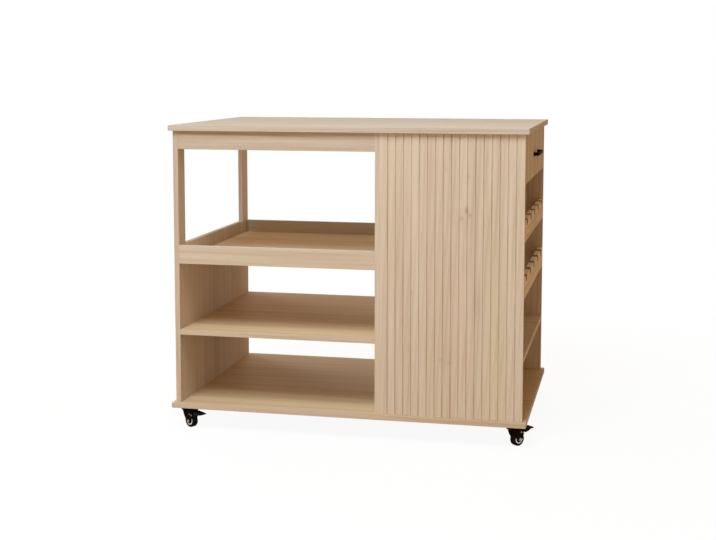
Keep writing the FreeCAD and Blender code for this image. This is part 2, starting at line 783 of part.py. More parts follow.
def make_plate(corner, x, y):
    """Make the plate under the base board, with the upper race of the swivel below it."""
    name = f"{corner}_plate"
    body = new_body(name, (f"{x} - plate_size / 2", f"{y} - plate_size / 2", "plate_bottom"))
    sketch = new_sketch(body, "XY_Plane")
    nip = "plate_corner_radius"
    size = "plate_size"
    draw_polygon(sketch, [
        (nip, "0"), (f"{size} - {nip}", "0"), (size, nip), (size, f"{size} - {nip}"),
        (f"{size} - {nip}", size), (nip, size), ("0", f"{size} - {nip}"), ("0", nip),
    ])
    add_pad(body, sketch, "plate_thickness")
    race = rod(f"{name}_race", "race_radius", "race_height", (x, y, "plate_bottom - race_height"), "+Z")
    low = (x, y, "plate_bottom - race_height - cut_overrun")
    height = "race_height + plate_thickness + 2 * cut_overrun"
    tools = [rod(f"{name}_hole", "kingpin_radius + bore_clearance", height, low, "+Z")]
    for x_sign in "-+":
        for y_sign in "-+":
            hole_x = f"{x} {x_sign} plate_hole_spacing / 2"
            hole_y = f"{y} {y_sign} plate_hole_spacing / 2"
            start = (hole_x, hole_y, "plate_bottom - cut_overrun")
            depth = "plate_thickness + 2 * cut_overrun"
            tools.append(rod(f"{name}_screw_hole", "plate_hole_radius", depth, start, "+Z"))
            add_caster_screw(hole_x, hole_y)
    pieces[name] = cut(f"{name}_cut", fuse(f"{name}_blank", [body, race]), tools)


def add_caster_screw(x, y):
    """Drive a screw up through a plate into the base board."""
    seat = (x, y, "plate_bottom")
    length = "plate_thickness + caster_screw_length"
    shank = rod("caster_shank", "caster_screw_radius", length, seat, "+Z")
    head_start = along(seat, "-Z", "caster_screw_head_height")
    head = rod("caster_head", "caster_screw_head_radius", "caster_screw_head_height", head_start, "+Z")
    groups["caster_screws"].append(fuse("caster_screw", [shank, head]))
    hole = rod("caster_hole", "caster_screw_radius + bore_clearance", f"{length} + bore_end_gap", seat, "+Z")
    bore(("base_board",), hole)


def make_kingpin(x, y):
    """Make the pin that the fork turns about, with a head under the fork's crown."""
    head_bottom = "crown_bottom - race_gap - kingpin_head_height"
    length = f"caster_height - ({head_bottom})"
    shank = rod("kingpin_shank", "kingpin_radius", length, (x, y, head_bottom), "+Z")
    head = rod("kingpin_head", "kingpin_head_radius", "kingpin_head_height", (x, y, head_bottom), "+Z")
    groups["caster_kingpins"].append(fuse("kingpin", [shank, head]))


def across(width):
    """Give the place of a piece of this width that lies evenly about the wheel's middle plane."""
    return ("0", f"-({width}) / 2", "0")


def make_fork(corner, x, y, heading, braked):
    """Make the pressed fork: a round crown with two legs that reach down to the axle."""
    name = f"{corner}_fork"
    body = new_body(name, across("fork_width"))
    sketch = new_sketch(body, "XZ_Plane")
    draw_polygon(sketch, [
        (f"caster_trail * {out}", f"wheel_radius + (crown_top - wheel_radius) * {up}")
        for out, up in LEG_OUTLINE_SHARES
    ])
    add_pad(body, sketch, "fork_width", backwards=True)
    crown = rod(f"{name}_crown", "crown_radius", "crown_thickness", ("0", "0", "crown_bottom"), "+Z")
    eye_start = ("caster_trail", "-fork_width / 2", "wheel_radius")
    eye = rod(f"{name}_eye", "leg_eye_radius", "fork_width", eye_start, "+Y")
    blank = fuse(f"{name}_blank", [body, crown, eye])

    reach = "2 * crown_radius + caster_trail + 2 * leg_eye_radius"
    gap_corner = (f"-({reach}) / 2", "-leg_gap / 2", "0")
    gap = box(f"{name}_gap", (reach, "leg_gap", "crown_bottom"), gap_corner)
    pin_start = ("0", "0", "crown_bottom - cut_overrun")
    pin_radius = "kingpin_radius + running_clearance"
    pin_hole = rod(f"{name}_pin_hole", pin_radius, "crown_thickness + 2 * cut_overrun", pin_start, "+Z")
    through = "fork_width + 2 * cut_overrun"
    axle_start = along(eye_start, "-Y", "cut_overrun")
    axle_hole = rod(f"{name}_axle_hole", "axle_radius + bore_clearance", through, axle_start, "+Y")
    tools = [gap, pin_hole, axle_hole]
    if braked:
        start = ("pedal_pivot_reach", "-fork_width / 2 - cut_overrun", "pedal_pivot_height")
        tools.append(rod(f"{name}_pedal_hole", "pedal_pin_radius + running_clearance", through, start, "+Y"))
    put_caster_piece(name, cut(f"{name}_cut", blank, tools), x, y, heading)


def make_wheel(corner, x, y, heading):
    """Make the axle, the hub that runs on it and the tyre round the hub."""
    half = "fork_width / 2"
    start = ("caster_trail", f"-{half} - axle_head_height", "wheel_radius")
    length = "fork_width + 2 * axle_head_height"
    shank = rod(f"{corner}_axle_shank", "axle_radius", length, start, "+Y")
    heads = [
        rod(f"{corner}_axle_head", "axle_head_radius", "axle_head_height", start, "+Y"),
        rod(f"{corner}_axle_head", "axle_head_radius", "axle_head_height",
            ("caster_trail", half, "wheel_radius"), "+Y"),
    ]
    put_caster_piece(f"{corner}_axle", fuse(f"{corner}_axle_rivet", [shank, *heads]), x, y, heading)

    side = "wheel_width / 2"
    rim = "hub_radius - hub_rim_width"
    web = f"{side} - hub_recess"
    bore_radius = "axle_radius + running_clearance"
    half_outline = [
        (side, bore_radius),
        (side, "hub_boss_radius"),
        (web, "hub_boss_radius"),
        (web, rim),
        (side, rim),
        (side, "hub_radius"),
    ]
    mirrored = [(f"-({across_text})", up) for across_text, up in reversed(half_outline)]
    hub = revolve(f"{corner}_hub", "YZ_Plane", half_outline + mirrored, "wheel_radius", "caster_trail")
    put_caster_piece(f"{corner}_hub", hub, x, y, heading)

    shoulder = "tyre_shoulder"
    tread = [
        (side, "hub_radius + bore_clearance"),
        (side, f"wheel_radius - {shoulder}"),
        (f"{side} - {shoulder} / 3", f"wheel_radius - {shoulder} / 3"),
        (f"{side} - {shoulder}", "wheel_radius"),
    ]
    mirrored = [(f"-({across_text})", up) for across_text, up in reversed(tread)]
    tyre = revolve(f"{corner}_tyre", "YZ_Plane", tread + mirrored, "wheel_radius", "caster_trail")
    put_caster_piece(f"{corner}_tyre", tyre, x, y, heading)


def make_pedal(corner, x, y, heading):
    """Make the brake pedal: a lever between the legs, with a shoe over the tyre and a wedge to step on."""
    name = f"{corner}_brake_pedal"
    half = "pedal_thickness / 2"
    pivot_x, pivot_z = "pedal_pivot_reach", "pedal_pivot_height"
    slope = "pedal_rise / (pedal_reach - pedal_pivot_reach)"
    paddle_start = "pedal_reach - pedal_paddle_length"
    join_z = f"{pivot_z} + ({paddle_start} - {pivot_x}) * {slope}"
    shoe_low = f"{pivot_z} - shoe_drop"
    shoe_near, shoe_far = "shoe_reach - shoe_length / 2", "shoe_reach + shoe_length / 2"

    lever = new_body(f"{name}_lever", across("pedal_lever_width"))
    sketch = new_sketch(lever, "XZ_Plane")
    draw_polygon(sketch, [
        (pivot_x, f"{pivot_z} - {half}"),
        (shoe_near, f"{pivot_z} - {half}"),
        (shoe_near, shoe_low),
        (shoe_far, shoe_low),
        (shoe_far, f"{pivot_z} - {half}"),
        (paddle_start, f"{join_z} - {half}"),
        (paddle_start, f"{join_z} + {half}"),
        (pivot_x, f"{pivot_z} + {half}"),
    ])
    add_pad(lever, sketch, "pedal_lever_width", backwards=True)

    paddle = new_body(f"{name}_paddle", across("pedal_width"))
    sketch = new_sketch(paddle, "XZ_Plane")
    draw_polygon(sketch, [
        (paddle_start, f"{join_z} - pedal_root_drop"),
        ("pedal_reach", f"pedal_tip_height - {half}"),
        ("pedal_reach", f"pedal_tip_height + {half}"),
        (paddle_start, f"{join_z} + pedal_root_rise"),
    ])
    add_pad(paddle, sketch, "pedal_width", backwards=True)

    barrel_start = (pivot_x, "-pedal_lever_width / 2", pivot_z)
    barrel = rod(f"{name}_barrel", "pedal_barrel_radius", "pedal_lever_width", barrel_start, "+Y")
    pin_start = (pivot_x, "-fork_width / 2", pivot_z)
    pin = rod(f"{name}_pin", "pedal_pin_radius", "fork_width", pin_start, "+Y")
    put_caster_piece(name, fuse(f"{name}_whole", [lever, paddle, barrel, pin]), x, y, heading)


def make_casters():
    """Put a caster under each corner of the base board, with a brake on the two in front."""
    for corner, x_sign, y_sign in (
        ("front_left", "-", "-"),
        ("front_right", "+", "-"),
        ("back_left", "-", "+"),
        ("back_right", "+", "+"),
    ):
        x = f"0 {x_sign} (top_width / 2 - caster_inset)"
        y = f"0 {y_sign} (top_depth / 2 - caster_inset)"
        heading = f"{corner}_heading"
        braked = corner.startswith("front")
        make_plate(corner, x, y)
        make_kingpin(x, y)
        make_fork(corner, x, y, heading, braked)
        make_wheel(corner, x, y, heading)
        if braked:
            make_pedal(corner, x, y, heading)


def finish_pieces():
    """Cut every bore, gather the grouped fixings and give each sub-part its label."""
    for name, solids in groups.items():
        pieces[name] = collect(f"{name}_set", solids)
    for name, tools in bores.items():
        pieces[name] = cut(f"{name}_bored", pieces[name], tools)
    for name, piece in pieces.items():
        piece.Label = name
    document.recompute()


def check_model():
    """Stop if any object failed or any sub-part is empty or broken."""
    for thing in document.Objects:
        if "Invalid" in thing.State or "Error" in thing.State:
            raise RuntimeError(f"{thing.Name} failed: {thing.State}")
    for name, piece in pieces.items():
        if piece.Label != name:
            raise RuntimeError(f"{name} has the label {piece.Label}")
        if piece.Shape.isNull() or not piece.Shape.isValid() or not piece.Shape.Solids:
            raise RuntimeError(f"{name} has no valid solid")


def write_pieces():
    """Write one STEP file for each sub-part."""
    os.makedirs("parts", exist_ok=True)
    for name, piece in pieces.items():
        piece.Shape.exportStep(f"parts/{name}.step")
        print(f"{name}: {len(piece.Shape.Solids)} solid(s), {piece.Shape.Volume / 1000:.1f} cm3")


fill_sheet()
make_carcass()
make_racks()
make_drawer()
make_slides()
make_pull()
make_casters()
add_panel_fixings()
add_shelf_fixings()
add_rail_fixings()
finish_pieces()
check_model()
write_pieces()
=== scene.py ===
"""The looks of the kitchen cart: its oak boards, its drawer, its fixings and its four casters."""

import json
import logging
import math
from collections.abc import Iterable, Sequence
from dataclasses import dataclass, field
from enum import Enum
from typing import Any

import bmesh
import bpy
from mathutils import Matrix, Vector


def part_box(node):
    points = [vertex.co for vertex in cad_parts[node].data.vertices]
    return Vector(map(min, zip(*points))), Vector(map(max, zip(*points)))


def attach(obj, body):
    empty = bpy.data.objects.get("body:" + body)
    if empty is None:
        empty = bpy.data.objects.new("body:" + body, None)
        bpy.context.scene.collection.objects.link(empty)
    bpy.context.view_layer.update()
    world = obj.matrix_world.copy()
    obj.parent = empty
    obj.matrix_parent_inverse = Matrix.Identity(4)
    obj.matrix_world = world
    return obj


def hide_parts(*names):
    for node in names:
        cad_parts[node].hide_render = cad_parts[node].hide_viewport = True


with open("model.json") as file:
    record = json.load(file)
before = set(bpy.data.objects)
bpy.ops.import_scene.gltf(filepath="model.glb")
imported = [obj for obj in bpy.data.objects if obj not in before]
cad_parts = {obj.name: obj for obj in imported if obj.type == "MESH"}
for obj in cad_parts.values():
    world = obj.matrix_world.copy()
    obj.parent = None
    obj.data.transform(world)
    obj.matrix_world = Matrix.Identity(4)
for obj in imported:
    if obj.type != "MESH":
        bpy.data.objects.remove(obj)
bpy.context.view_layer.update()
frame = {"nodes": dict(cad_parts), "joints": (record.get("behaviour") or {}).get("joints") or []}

LOG = logging.getLogger("kitchen_cart")
MM = 0.001

Pair = tuple[float, float]
Triple = tuple[float, float, float]


# Finishes


@dataclass(frozen=True)
class Signal:
    """What flows out of a socket, as a term that sums and products can be written with."""

    sheet: "NodeSheet"
    socket: bpy.types.NodeSocket

    NOISE_MIDDLE = 0.5

    def _math(self, operation: str, *terms: "Signal | float") -> "Signal":
        """Add one Math node.

        Args:
            operation: The node's operation.
            terms: The values or signals it works on, in order.

        Returns:
            The result.
        """
        return self.sheet.add("ShaderNodeMath", {"operation": operation}, dict(enumerate(terms)))

    def __add__(self, other: "Signal | float") -> "Signal":
        """Add another term."""
        return self._math("ADD", self, other)

    def __radd__(self, other: float) -> "Signal":
        """Add this signal to a number."""
        return self._math("ADD", other, self)

    def __sub__(self, other: "Signal | float") -> "Signal":
        """Take another term away."""
        return self._math("SUBTRACT", self, other)

    def __rsub__(self, other: float) -> "Signal":
        """Take this signal away from a number."""
        return self._math("SUBTRACT", other, self)

    def __mul__(self, other: "Signal | float") -> "Signal":
        """Multiply by another term."""
        return self._math("MULTIPLY", self, other)

    def __rmul__(self, other: float) -> "Signal":
        """Multiply a number by this signal."""
        return self._math("MULTIPLY", other, self)

    def most(self, other: "Signal | float") -> "Signal":
        """Give the larger of this signal and another term."""
        return self._math("MAXIMUM", self, other)

    def centred(self) -> "Signal":
        """Take away the middle of a noise, so that it swings about 0."""
        return self - self.NOISE_MIDDLE

    def fraction(self) -> "Signal":
        """Give what is left after the whole part is taken away."""
        return self._math("FRACT", self)

    def smooth(self, low: float, high: float) -> "Signal":
        """Rise gently from 0 at one value to 1 at another.

        Args:
            low: The value at which the result is 0.
            high: The value at which the result is 1.

        Returns:
            The eased result.
        """
        settings = {"interpolation_type": "SMOOTHSTEP"}
        return self.sheet.add("ShaderNodeMapRange", settings, {0: self, 1: low, 2: high})

    def plus(self, other: "Signal | Triple") -> "Signal":
        """Add a vector."""
        return self.sheet.add("ShaderNodeVectorMath", {"operation": "ADD"}, {0: self, 1: other})

    def times(self, other: "Signal | Triple") -> "Signal":
        """Multiply by a vector, part by part."""
        settings = {"operation": "MULTIPLY"}
        return self.sheet.add("ShaderNodeVectorMath", settings, {0: self, 1: other})

    def length(self) -> "Signal":
        """Give the length of this vector."""
        return self.sheet.add("ShaderNodeVectorMath", {"operation": "LENGTH"}, {0: self}, "Value")


class NodeSheet:
    """The nodes of one material or of the world, added through one method."""

    NOISE_ROUGHNESS = 0.55
    WHITE = (1.0, 1.0, 1.0, 1.0)
    MIX_SHARE, MIX_COLOURS, MIX_RESULT = 0, (6, 7), 2

    def __init__(self, tree: bpy.types.NodeTree) -> None:
        """Start with an empty tree."""
        self.tree = tree
        self.tree.nodes.clear()

    def node(
        self,
        kind: str,
        settings: dict[str, Any] | None = None,
        sockets: dict[int | str, Any] | None = None,
    ) -> bpy.types.Node:
        """Add one node.

        Args:
            kind: The node's type.
            settings: Its own settings, set first. A ramp's stops are pairs of place and colour.
            sockets: The values or signals of its inputs, by name or number.

        Returns:
            The node.
        """
        node = self.tree.nodes.new(kind)
        for name, value in (settings or {}).items():
            if name == "stops":
                ramp = node.color_ramp
                while len(ramp.elements) < len(value):
                    ramp.elements.new(1.0)
                for element, (place, colour) in zip(ramp.elements, value):
                    element.position = place
                    element.color = (*colour, 1.0)
            else:
                setattr(node, name, value)
        for name, value in (sockets or {}).items():
            if isinstance(value, Signal):
                self.tree.links.new(value.socket, node.inputs[name])
            else:
                node.inputs[name].default_value = value
        return node

    def add(
        self,
        kind: str,
        settings: dict[str, Any] | None = None,
        sockets: dict[int | str, Any] | None = None,
        output: int | str = 0,
    ) -> Signal:
        """Add one node, as node() does, and give one of its outputs.

        Args:
            kind: The node's type.
            settings: Its own settings.
            sockets: The values or signals of its inputs.
            output: The output that is wanted, by name or number.

        Returns:
            The signal of that output.
        """
        return Signal(self, self.node(kind, settings, sockets).outputs[output])

    def noise(
        self, where: Signal, scale: Triple, detail: float = 3.0, output: str = "Fac"
    ) -> Signal:
        """Sample soft noise that is stretched along the axes.

        Args:
            where: The coordinates.
            scale: How many cells there are to a metre along each axis.
            detail: How many finer layers are added.
            output: Fac for a number or Color for three of them.

        Returns:
            The noise, around one half.
        """
        sockets = {
            "Vector": where.times(scale),
            "Scale": 1.0,
            "Detail": detail,
            "Roughness": self.NOISE_ROUGHNESS,
        }
        return self.add("ShaderNodeTexNoise", {}, sockets, output)

    def mix(self, share: Signal | float, first: Any, second: Any, blend: str = "MIX") -> Signal:
        """Mix two colours.

        Args:
            share: How much of the second colour is used.
            first: The first colour or signal.
            second: The second colour or signal.
            blend: The way in which they are mixed.

        Returns:
            The mixed colour.
        """
        settings = {"data_type": "RGBA", "blend_type": blend}
        sockets: dict[int | str, Any] = {self.MIX_SHARE: share}
        for number, item in zip(self.MIX_COLOURS, (first, second)):
            sockets[number] = item if isinstance(item, Signal) else (*item, 1.0)
        return self.add("ShaderNodeMix", settings, sockets, self.MIX_RESULT)

    def bump(self, height: Signal, strength: float, distance: float) -> Signal:
        """Raise a surface by a height.

        Args:
            height: The height, from 0 to 1.
            strength: How strongly it shows.
            distance: The depth in metres that 1 stands for.

        Returns:
            The normal.
        """
        sockets = {"Strength": strength, "Distance": distance, "Height": height}
        return self.add("ShaderNodeBump", {}, sockets, "Normal")

    def surface(self, sockets: dict[str, Any]) -> None:
        """End the tree in a Principled shader with these inputs."""
        self.end(self.add("ShaderNodeBsdfPrincipled", {}, sockets))

    def end(self, shader: Signal, kind: str = "ShaderNodeOutputMaterial") -> None:
        """Send a shader to the output."""
        self.node(kind, {}, {"Surface": shader})


def new_material(name: str) -> tuple[bpy.types.Material, NodeSheet]:
    """Make an empty material.

    Args:
        name: Its name.

    Returns:
        The material and its nodes.
    """
    material = bpy.data.materials.new(name)
    material.use_nodes = True
    return material, NodeSheet(material.node_tree)


class Grain(Enum):
    """The way a board's grain runs, as the turn that brings it onto X."""

    ALONG_WIDTH = (0.0, 0.0, 0.0)
    ALONG_DEPTH = (0.0, 0.0, -math.pi / 2)
    UPRIGHT = (0.0, math.pi / 2, 0.0)


@dataclass(frozen=True)
class Layer:
    """One layer of noise in a finish.

    Attributes:
        cells: How many cells there are to a metre along each axis.
        detail: How many finer layers are added.
        share: How strongly it shows.
        edges: The values between which it rises from 0 to 1. Without them the noise stays as it is.
    """

    cells: Triple
    detail: float
    share: float
    edges: Pair | None = None

    def over(self, sheet: NodeSheet, where: Signal) -> Signal:
        """Spread the layer over a surface.

        Args:
            sheet: The material's nodes.
            where: The coordinates.

        Returns:
            The noise, before its share is applied.
        """
        noise = sheet.noise(where, self.cells, self.detail)
        return noise.smooth(*self.edges) if self.edges else noise


@dataclass(frozen=True)
class Knot:
    """A dark mark in the veneer of an upright front: its place and half sizes in metres."""

    x: float
    z: float
    half_width: float
    half_height: float
    strength: float

    def mask(self, place: Signal) -> Signal:
        """Spread the mark over the surface.

        Args:
            place: The object coordinates.

        Returns:
            Its strength.
        """
        centred = place.plus((-self.x, 0.0, -self.z))
        reach = centred.times((1 / self.half_width, 0.0, 1 / self.half_height)).length()
        return reach.smooth(1.0, 0.0) * self.strength


@dataclass(frozen=True)
class LitRim:
    """The paler rim of a lying board, painted light: its edges stay lighter while its flat faces
    carry the board's painted shade.

    Attributes:
        node: The board's node.
        tint: The rim's tint, lighter than the faces' painted shade.
        thickness: How much of it shows at the rim of the flat faces, in metres.
    """

    node: str
    tint: Triple
    thickness: float = 0.0004

    def mask(self, place: Signal) -> Signal:
        """Find the board's edges by their distance from its middle.

        Args:
            place: The object coordinates.

        Returns:
            1 on the edges and 0 on the flat faces.
        """
        # The edges found here keep a paler tint as painted light, and the flat faces keep the
        # board's painted shade.
        low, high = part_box(self.node)
        half = (high - low) / 2
        centred = place.plus(tuple(-(low + high) / 2))
        across = centred.times((1.0, 0.0, 0.0)).length() - half.x
        deep = centred.times((0.0, 1.0, 0.0)).length() - half.y
        return across.most(deep).smooth(-2 * self.thickness, -self.thickness)


@dataclass(frozen=True)
class OakFinish:
    """Pale natural oak veneer, with lengthwise streaks, growth rings, flecks and pores.

    Attributes:
        name: The material's name.
        grain: The way its grain runs.
        seed: Where in the trunk it was cut.
        tint: The colour it is multiplied by, which on most boards is painted shade or painted
            light.
        contrast: How strongly its figure shows.
        figure: How dark its growth rings are.
        pith: Where the middle of the trunk lies across the grain, in metres.
        knots: The dark marks in it.
        lit_rim: Its edges, painted lighter than its shaded faces, if they are.
    """

    name: str
    grain: Grain
    seed: float
    tint: Triple = (1.0, 1.0, 1.0)
    contrast: float = 1.0
    figure: float = 0.10
    pith: Pair = (0.16, 0.11)
    knots: tuple[Knot, ...] = ()
    lit_rim: LitRim | None = None

    DARK = (0.555, 0.425, 0.315)
    BODY = (0.675, 0.550, 0.435)
    PALE = (0.750, 0.640, 0.535)
    TONES = ((0.18, DARK), (0.50, BODY), (0.86, PALE))
    MIDDLE_TONE = 0.53
    BLUSH_COLOUR = (1.0, 0.930, 0.920)
    STRAW_COLOUR = (0.965, 0.970, 0.860)
    MARK_COLOUR = (0.46, 0.36, 0.27)

    SEED_SHIFT = (1.37, 0.71, 0.53)
    STRAW_SHIFT = (3.0, 1.0, 2.0)
    WANDER = Layer((0.9, 3.0, 3.0), 2.0, 0.024)
    STREAKS = Layer((1.1, 58.0, 58.0), 4.0, 0.85)
    THREADS = Layer((5.0, 330.0, 330.0), 2.0, 0.35)
    DRIFT = Layer((0.8, 7.0, 7.0), 2.0, 0.55)
    FLECKS = Layer((9.0, 95.0, 95.0), 2.0, 0.22, (0.66, 0.80))
    PORES = Layer((60.0, 1300.0, 1300.0), 1.0, 0.16, (0.58, 0.74))
    BLUSH = Layer((1.6, 19.0, 19.0), 2.0, 0.60, (0.44, 0.70))
    STRAW = Layer((1.1, 13.0, 13.0), 2.0, 0.60, (0.46, 0.72))

    RING_TILT = (0.0, 0.030, 0.045)
    RINGS_PER_METRE = 110.0
    RING_SPREAD = Layer((1.5, 16.0, 16.0), 2.0, 1.6)
    LATE_WOOD = (0.35, 0.92)
    RING_END = (1.0, 0.94)

    KNOT_BASE, KNOT_STREAKS = 0.55, 0.9
    ROUGHNESS, ROUGHER, SPECULAR = 0.74, 0.10, 0.08
    BUMP_TONE, BUMP_STRENGTH, BUMP_DEPTH = 0.35, 0.30, 0.00012

    def make(self) -> bpy.types.Material:
        """Build the material.

        Returns:
            The veneer for a board whose grain runs as this finish says.
        """
        material, sheet = new_material(self.name)
        place = sheet.add("ShaderNodeTexCoord", {}, {}, "Object")
        shift = tuple(self.seed * part for part in self.SEED_SHIFT)
        turn = self.grain.value
        board = sheet.add(
            "ShaderNodeMapping", {}, {"Vector": place, "Rotation": turn, "Location": shift}
        )
        wander = sheet.noise(board, self.WANDER.cells, self.WANDER.detail, "Color")
        sway = (0.0, self.WANDER.share, self.WANDER.share)
        flow = board.plus(wander.plus((-Signal.NOISE_MIDDLE,) * 3).times(sway))

        streaks = self.STREAKS.over(sheet, flow)
        threads = self.THREADS.over(sheet, flow)
        drift = self.DRIFT.over(sheet, flow)
        rings = self._rings(sheet, flow)
        flecks = self.FLECKS.over(sheet, flow)
        pores = self.PORES.over(sheet, flow)

        tone = streaks.centred() * self.STREAKS.share + threads.centred() * self.THREADS.share
        tone = tone + drift.centred() * self.DRIFT.share - rings * self.figure
        tone = tone * self.contrast + self.MIDDLE_TONE
        colour = sheet.add("ShaderNodeValToRGB", {"stops": self.TONES}, {0: tone})
        blush = self.BLUSH.over(sheet, flow)
        colour = sheet.mix(blush * self.BLUSH.share, colour, self.BLUSH_COLOUR, "MULTIPLY")
        straw = self.STRAW.over(sheet, flow.plus(self.STRAW_SHIFT))
        colour = sheet.mix(straw * self.STRAW.share, colour, self.STRAW_COLOUR, "MULTIPLY")
        marks = flecks * self.FLECKS.share + pores * self.PORES.share
        for knot in self.knots:
            marks = marks + knot.mask(place) * (self.KNOT_BASE + streaks * self.KNOT_STREAKS)
        colour = sheet.mix(marks, colour, self.MARK_COLOUR, "MULTIPLY")
        # The tint paints shade or light into the veneer, and where a rim is given its edges keep a
        # lighter painted light.
        tint = self.tint
        if self.lit_rim:
            tint = sheet.mix(self.lit_rim.mask(place), self.tint, self.lit_rim.tint)
        colour = sheet.mix(1.0, colour, tint, "MULTIPLY")

        rough = self.ROUGHNESS + pores * self.ROUGHER + threads.centred() * self.ROUGHER
        bump = sheet.bump(tone * self.BUMP_TONE - pores, self.BUMP_STRENGTH, self.BUMP_DEPTH)
        sheet.surface({
            "Base Color": colour,
            "Roughness": rough,
            "Specular IOR Level": self.SPECULAR,
            "Normal": bump,
        })
        return material

    def _rings(self, sheet: NodeSheet, flow: Signal) -> Signal:
        """Cut the trunk's rings at a slant, so that they run out in pointed arches.

        Args:
            sheet: The material's nodes.
            flow: The coordinates, with the grain along X.

        Returns:
            The late wood of each ring, from 0 to 1.
        """
        slanted = sheet.add(
            "ShaderNodeMapping",
            {},
            {"Vector": flow, "Rotation": self.RING_TILT, "Location": (0.0, *self.pith)},
        )
        reach = slanted.times((0.0, 1.0, 1.0)).length()
        spread = self.RING_SPREAD.over(sheet, flow)
        turn = (reach * self.RINGS_PER_METRE + spread * self.RING_SPREAD.share).fraction()
        return turn.smooth(*self.LATE_WOOD) * turn.smooth(*self.RING_END)


@dataclass(frozen=True)
class PlainWoodFinish:
    """Close-grained pale wood without figure, as on a dowel."""

    name: str
    colour: Triple
    roughness: float = 0.6

    STREAK_CELLS = (25.0, 420.0, 420.0)
    SHADE = 0.78
    BUMP_STRENGTH, BUMP_DEPTH = 0.2, 0.0001

    def make(self) -> bpy.types.Material:
        """Build the material.

        Returns:
            The finish, with fine streaks along X.
        """
        material, sheet = new_material(self.name)
        place = sheet.add("ShaderNodeTexCoord", {}, {}, "Object")
        streaks = sheet.noise(place, self.STREAK_CELLS)
        darker = tuple(part * self.SHADE for part in self.colour)
        colour = sheet.mix(streaks, darker, self.colour)
        bump = sheet.bump(streaks, self.BUMP_STRENGTH, self.BUMP_DEPTH)
        sheet.surface({"Base Color": colour, "Roughness": self.roughness, "Normal": bump})
        return material


class Coating(Enum):
    """A surface's metallic share, roughness, bump depth in metres and specular level."""

    POWDER = (0.0, 0.55, 0.000020, 0.005)
    ZINC = (1.0, 0.34, 0.000012, 0.50)
    SILVERED = (0.75, 0.38, 0.000012, 0.50)
    MOULDED = (0.0, 0.42, 0.000020, 0.030)
    RUBBER = (0.0, 0.70, 0.000050, 0.020)


@dataclass(frozen=True)
class CoatedFinish:
    """Metal, plastic or rubber of one colour, with its coating's uneven sheen and fine texture.

    Attributes:
        name: The material's name.
        colour: Its colour.
        coating: Its kind of surface.
        cells: How many grains of its texture there are to a metre.
        dust: How much dust has settled on it, from 0 to 1.
    """

    name: str
    colour: Triple
    coating: Coating
    cells: float = 900.0
    dust: float = 0.0

    PATCHES = Layer((70.0, 70.0, 70.0), 3.0, 0.16)
    PATCH_EDGES = (0.35, 0.70)
    PIT_DETAIL, PIT_SHARE, PIT_STRENGTH = 2.0, 0.06, 0.5
    SETTLED = Layer((160.0, 160.0, 160.0), 4.0, 1.0, (0.50, 0.75))
    DUST_COLOUR = (0.20, 0.18, 0.16)
    LIGHTER, LIFT = 1.25, 0.004

    def make(self) -> bpy.types.Material:
        """Build the material.

        Returns:
            The finish, whose colour, sheen and height vary over the surface.
        """
        metallic, roughness, depth, specular = self.coating.value
        material, sheet = new_material(self.name)
        place = sheet.add("ShaderNodeTexCoord", {}, {}, "Object")
        patches = self.PATCHES.over(sheet, place)
        pits = sheet.noise(place, (self.cells,) * 3, self.PIT_DETAIL)
        lighter = tuple(min(1.0, part * self.LIGHTER + self.LIFT) for part in self.colour)
        colour = sheet.mix(patches.smooth(*self.PATCH_EDGES), self.colour, lighter)
        if self.dust:
            settled = self.SETTLED.over(sheet, place)
            colour = sheet.mix(settled * self.dust, colour, self.DUST_COLOUR)
        rough = roughness + patches.centred() * self.PATCHES.share + pits.centred() * self.PIT_SHARE
        sheet.surface({
            "Base Color": colour,
            "Metallic": metallic,
            "Roughness": rough,
            "Specular IOR Level": specular,
            "Normal": sheet.bump(pits, self.PIT_STRENGTH, depth),
        })
        return material


BLACK_METAL = CoatedFinish("satin_black_metal", (0.008, 0.006, 0.005), Coating.POWDER)
BLACK_PLASTIC = CoatedFinish("black_moulding", (0.007, 0.006, 0.006), Coating.MOULDED)
TYRE = CoatedFinish("black_tyre", (0.009, 0.007, 0.006), Coating.RUBBER, 1400.0, 0.06)
HUB = CoatedFinish("silvered_hub", (0.80, 0.76, 0.70), Coating.SILVERED)
# The hub core's near-black brown is painted shade, darkening the recess between the ring and the
# axle.
PAINTED_SHADE_HUB_CORE = CoatedFinish("hub_core_painted_shade", (0.022, 0.013, 0.008), Coating.MOULDED)
AXLE = CoatedFinish("dull_axle", (0.30, 0.26, 0.22), Coating.ZINC, 1600.0)
ZINC = CoatedFinish("zinc_plating", (0.62, 0.61, 0.59), Coating.ZINC, 1600.0)
BEECH = PlainWoodFinish("beech_dowel", (0.66, 0.47, 0.29))


# Pieces


@dataclass(frozen=True)
class Rounding:
    """How the edges of a piece are rounded.

    Attributes:
        width: How far the rounding reaches from the edge, in millimetres.
        segments: How many faces it has.
        sharper_than: The angle in degrees above which an edge is rounded.
    """

    width: float
    segments: int
    sharper_than: float


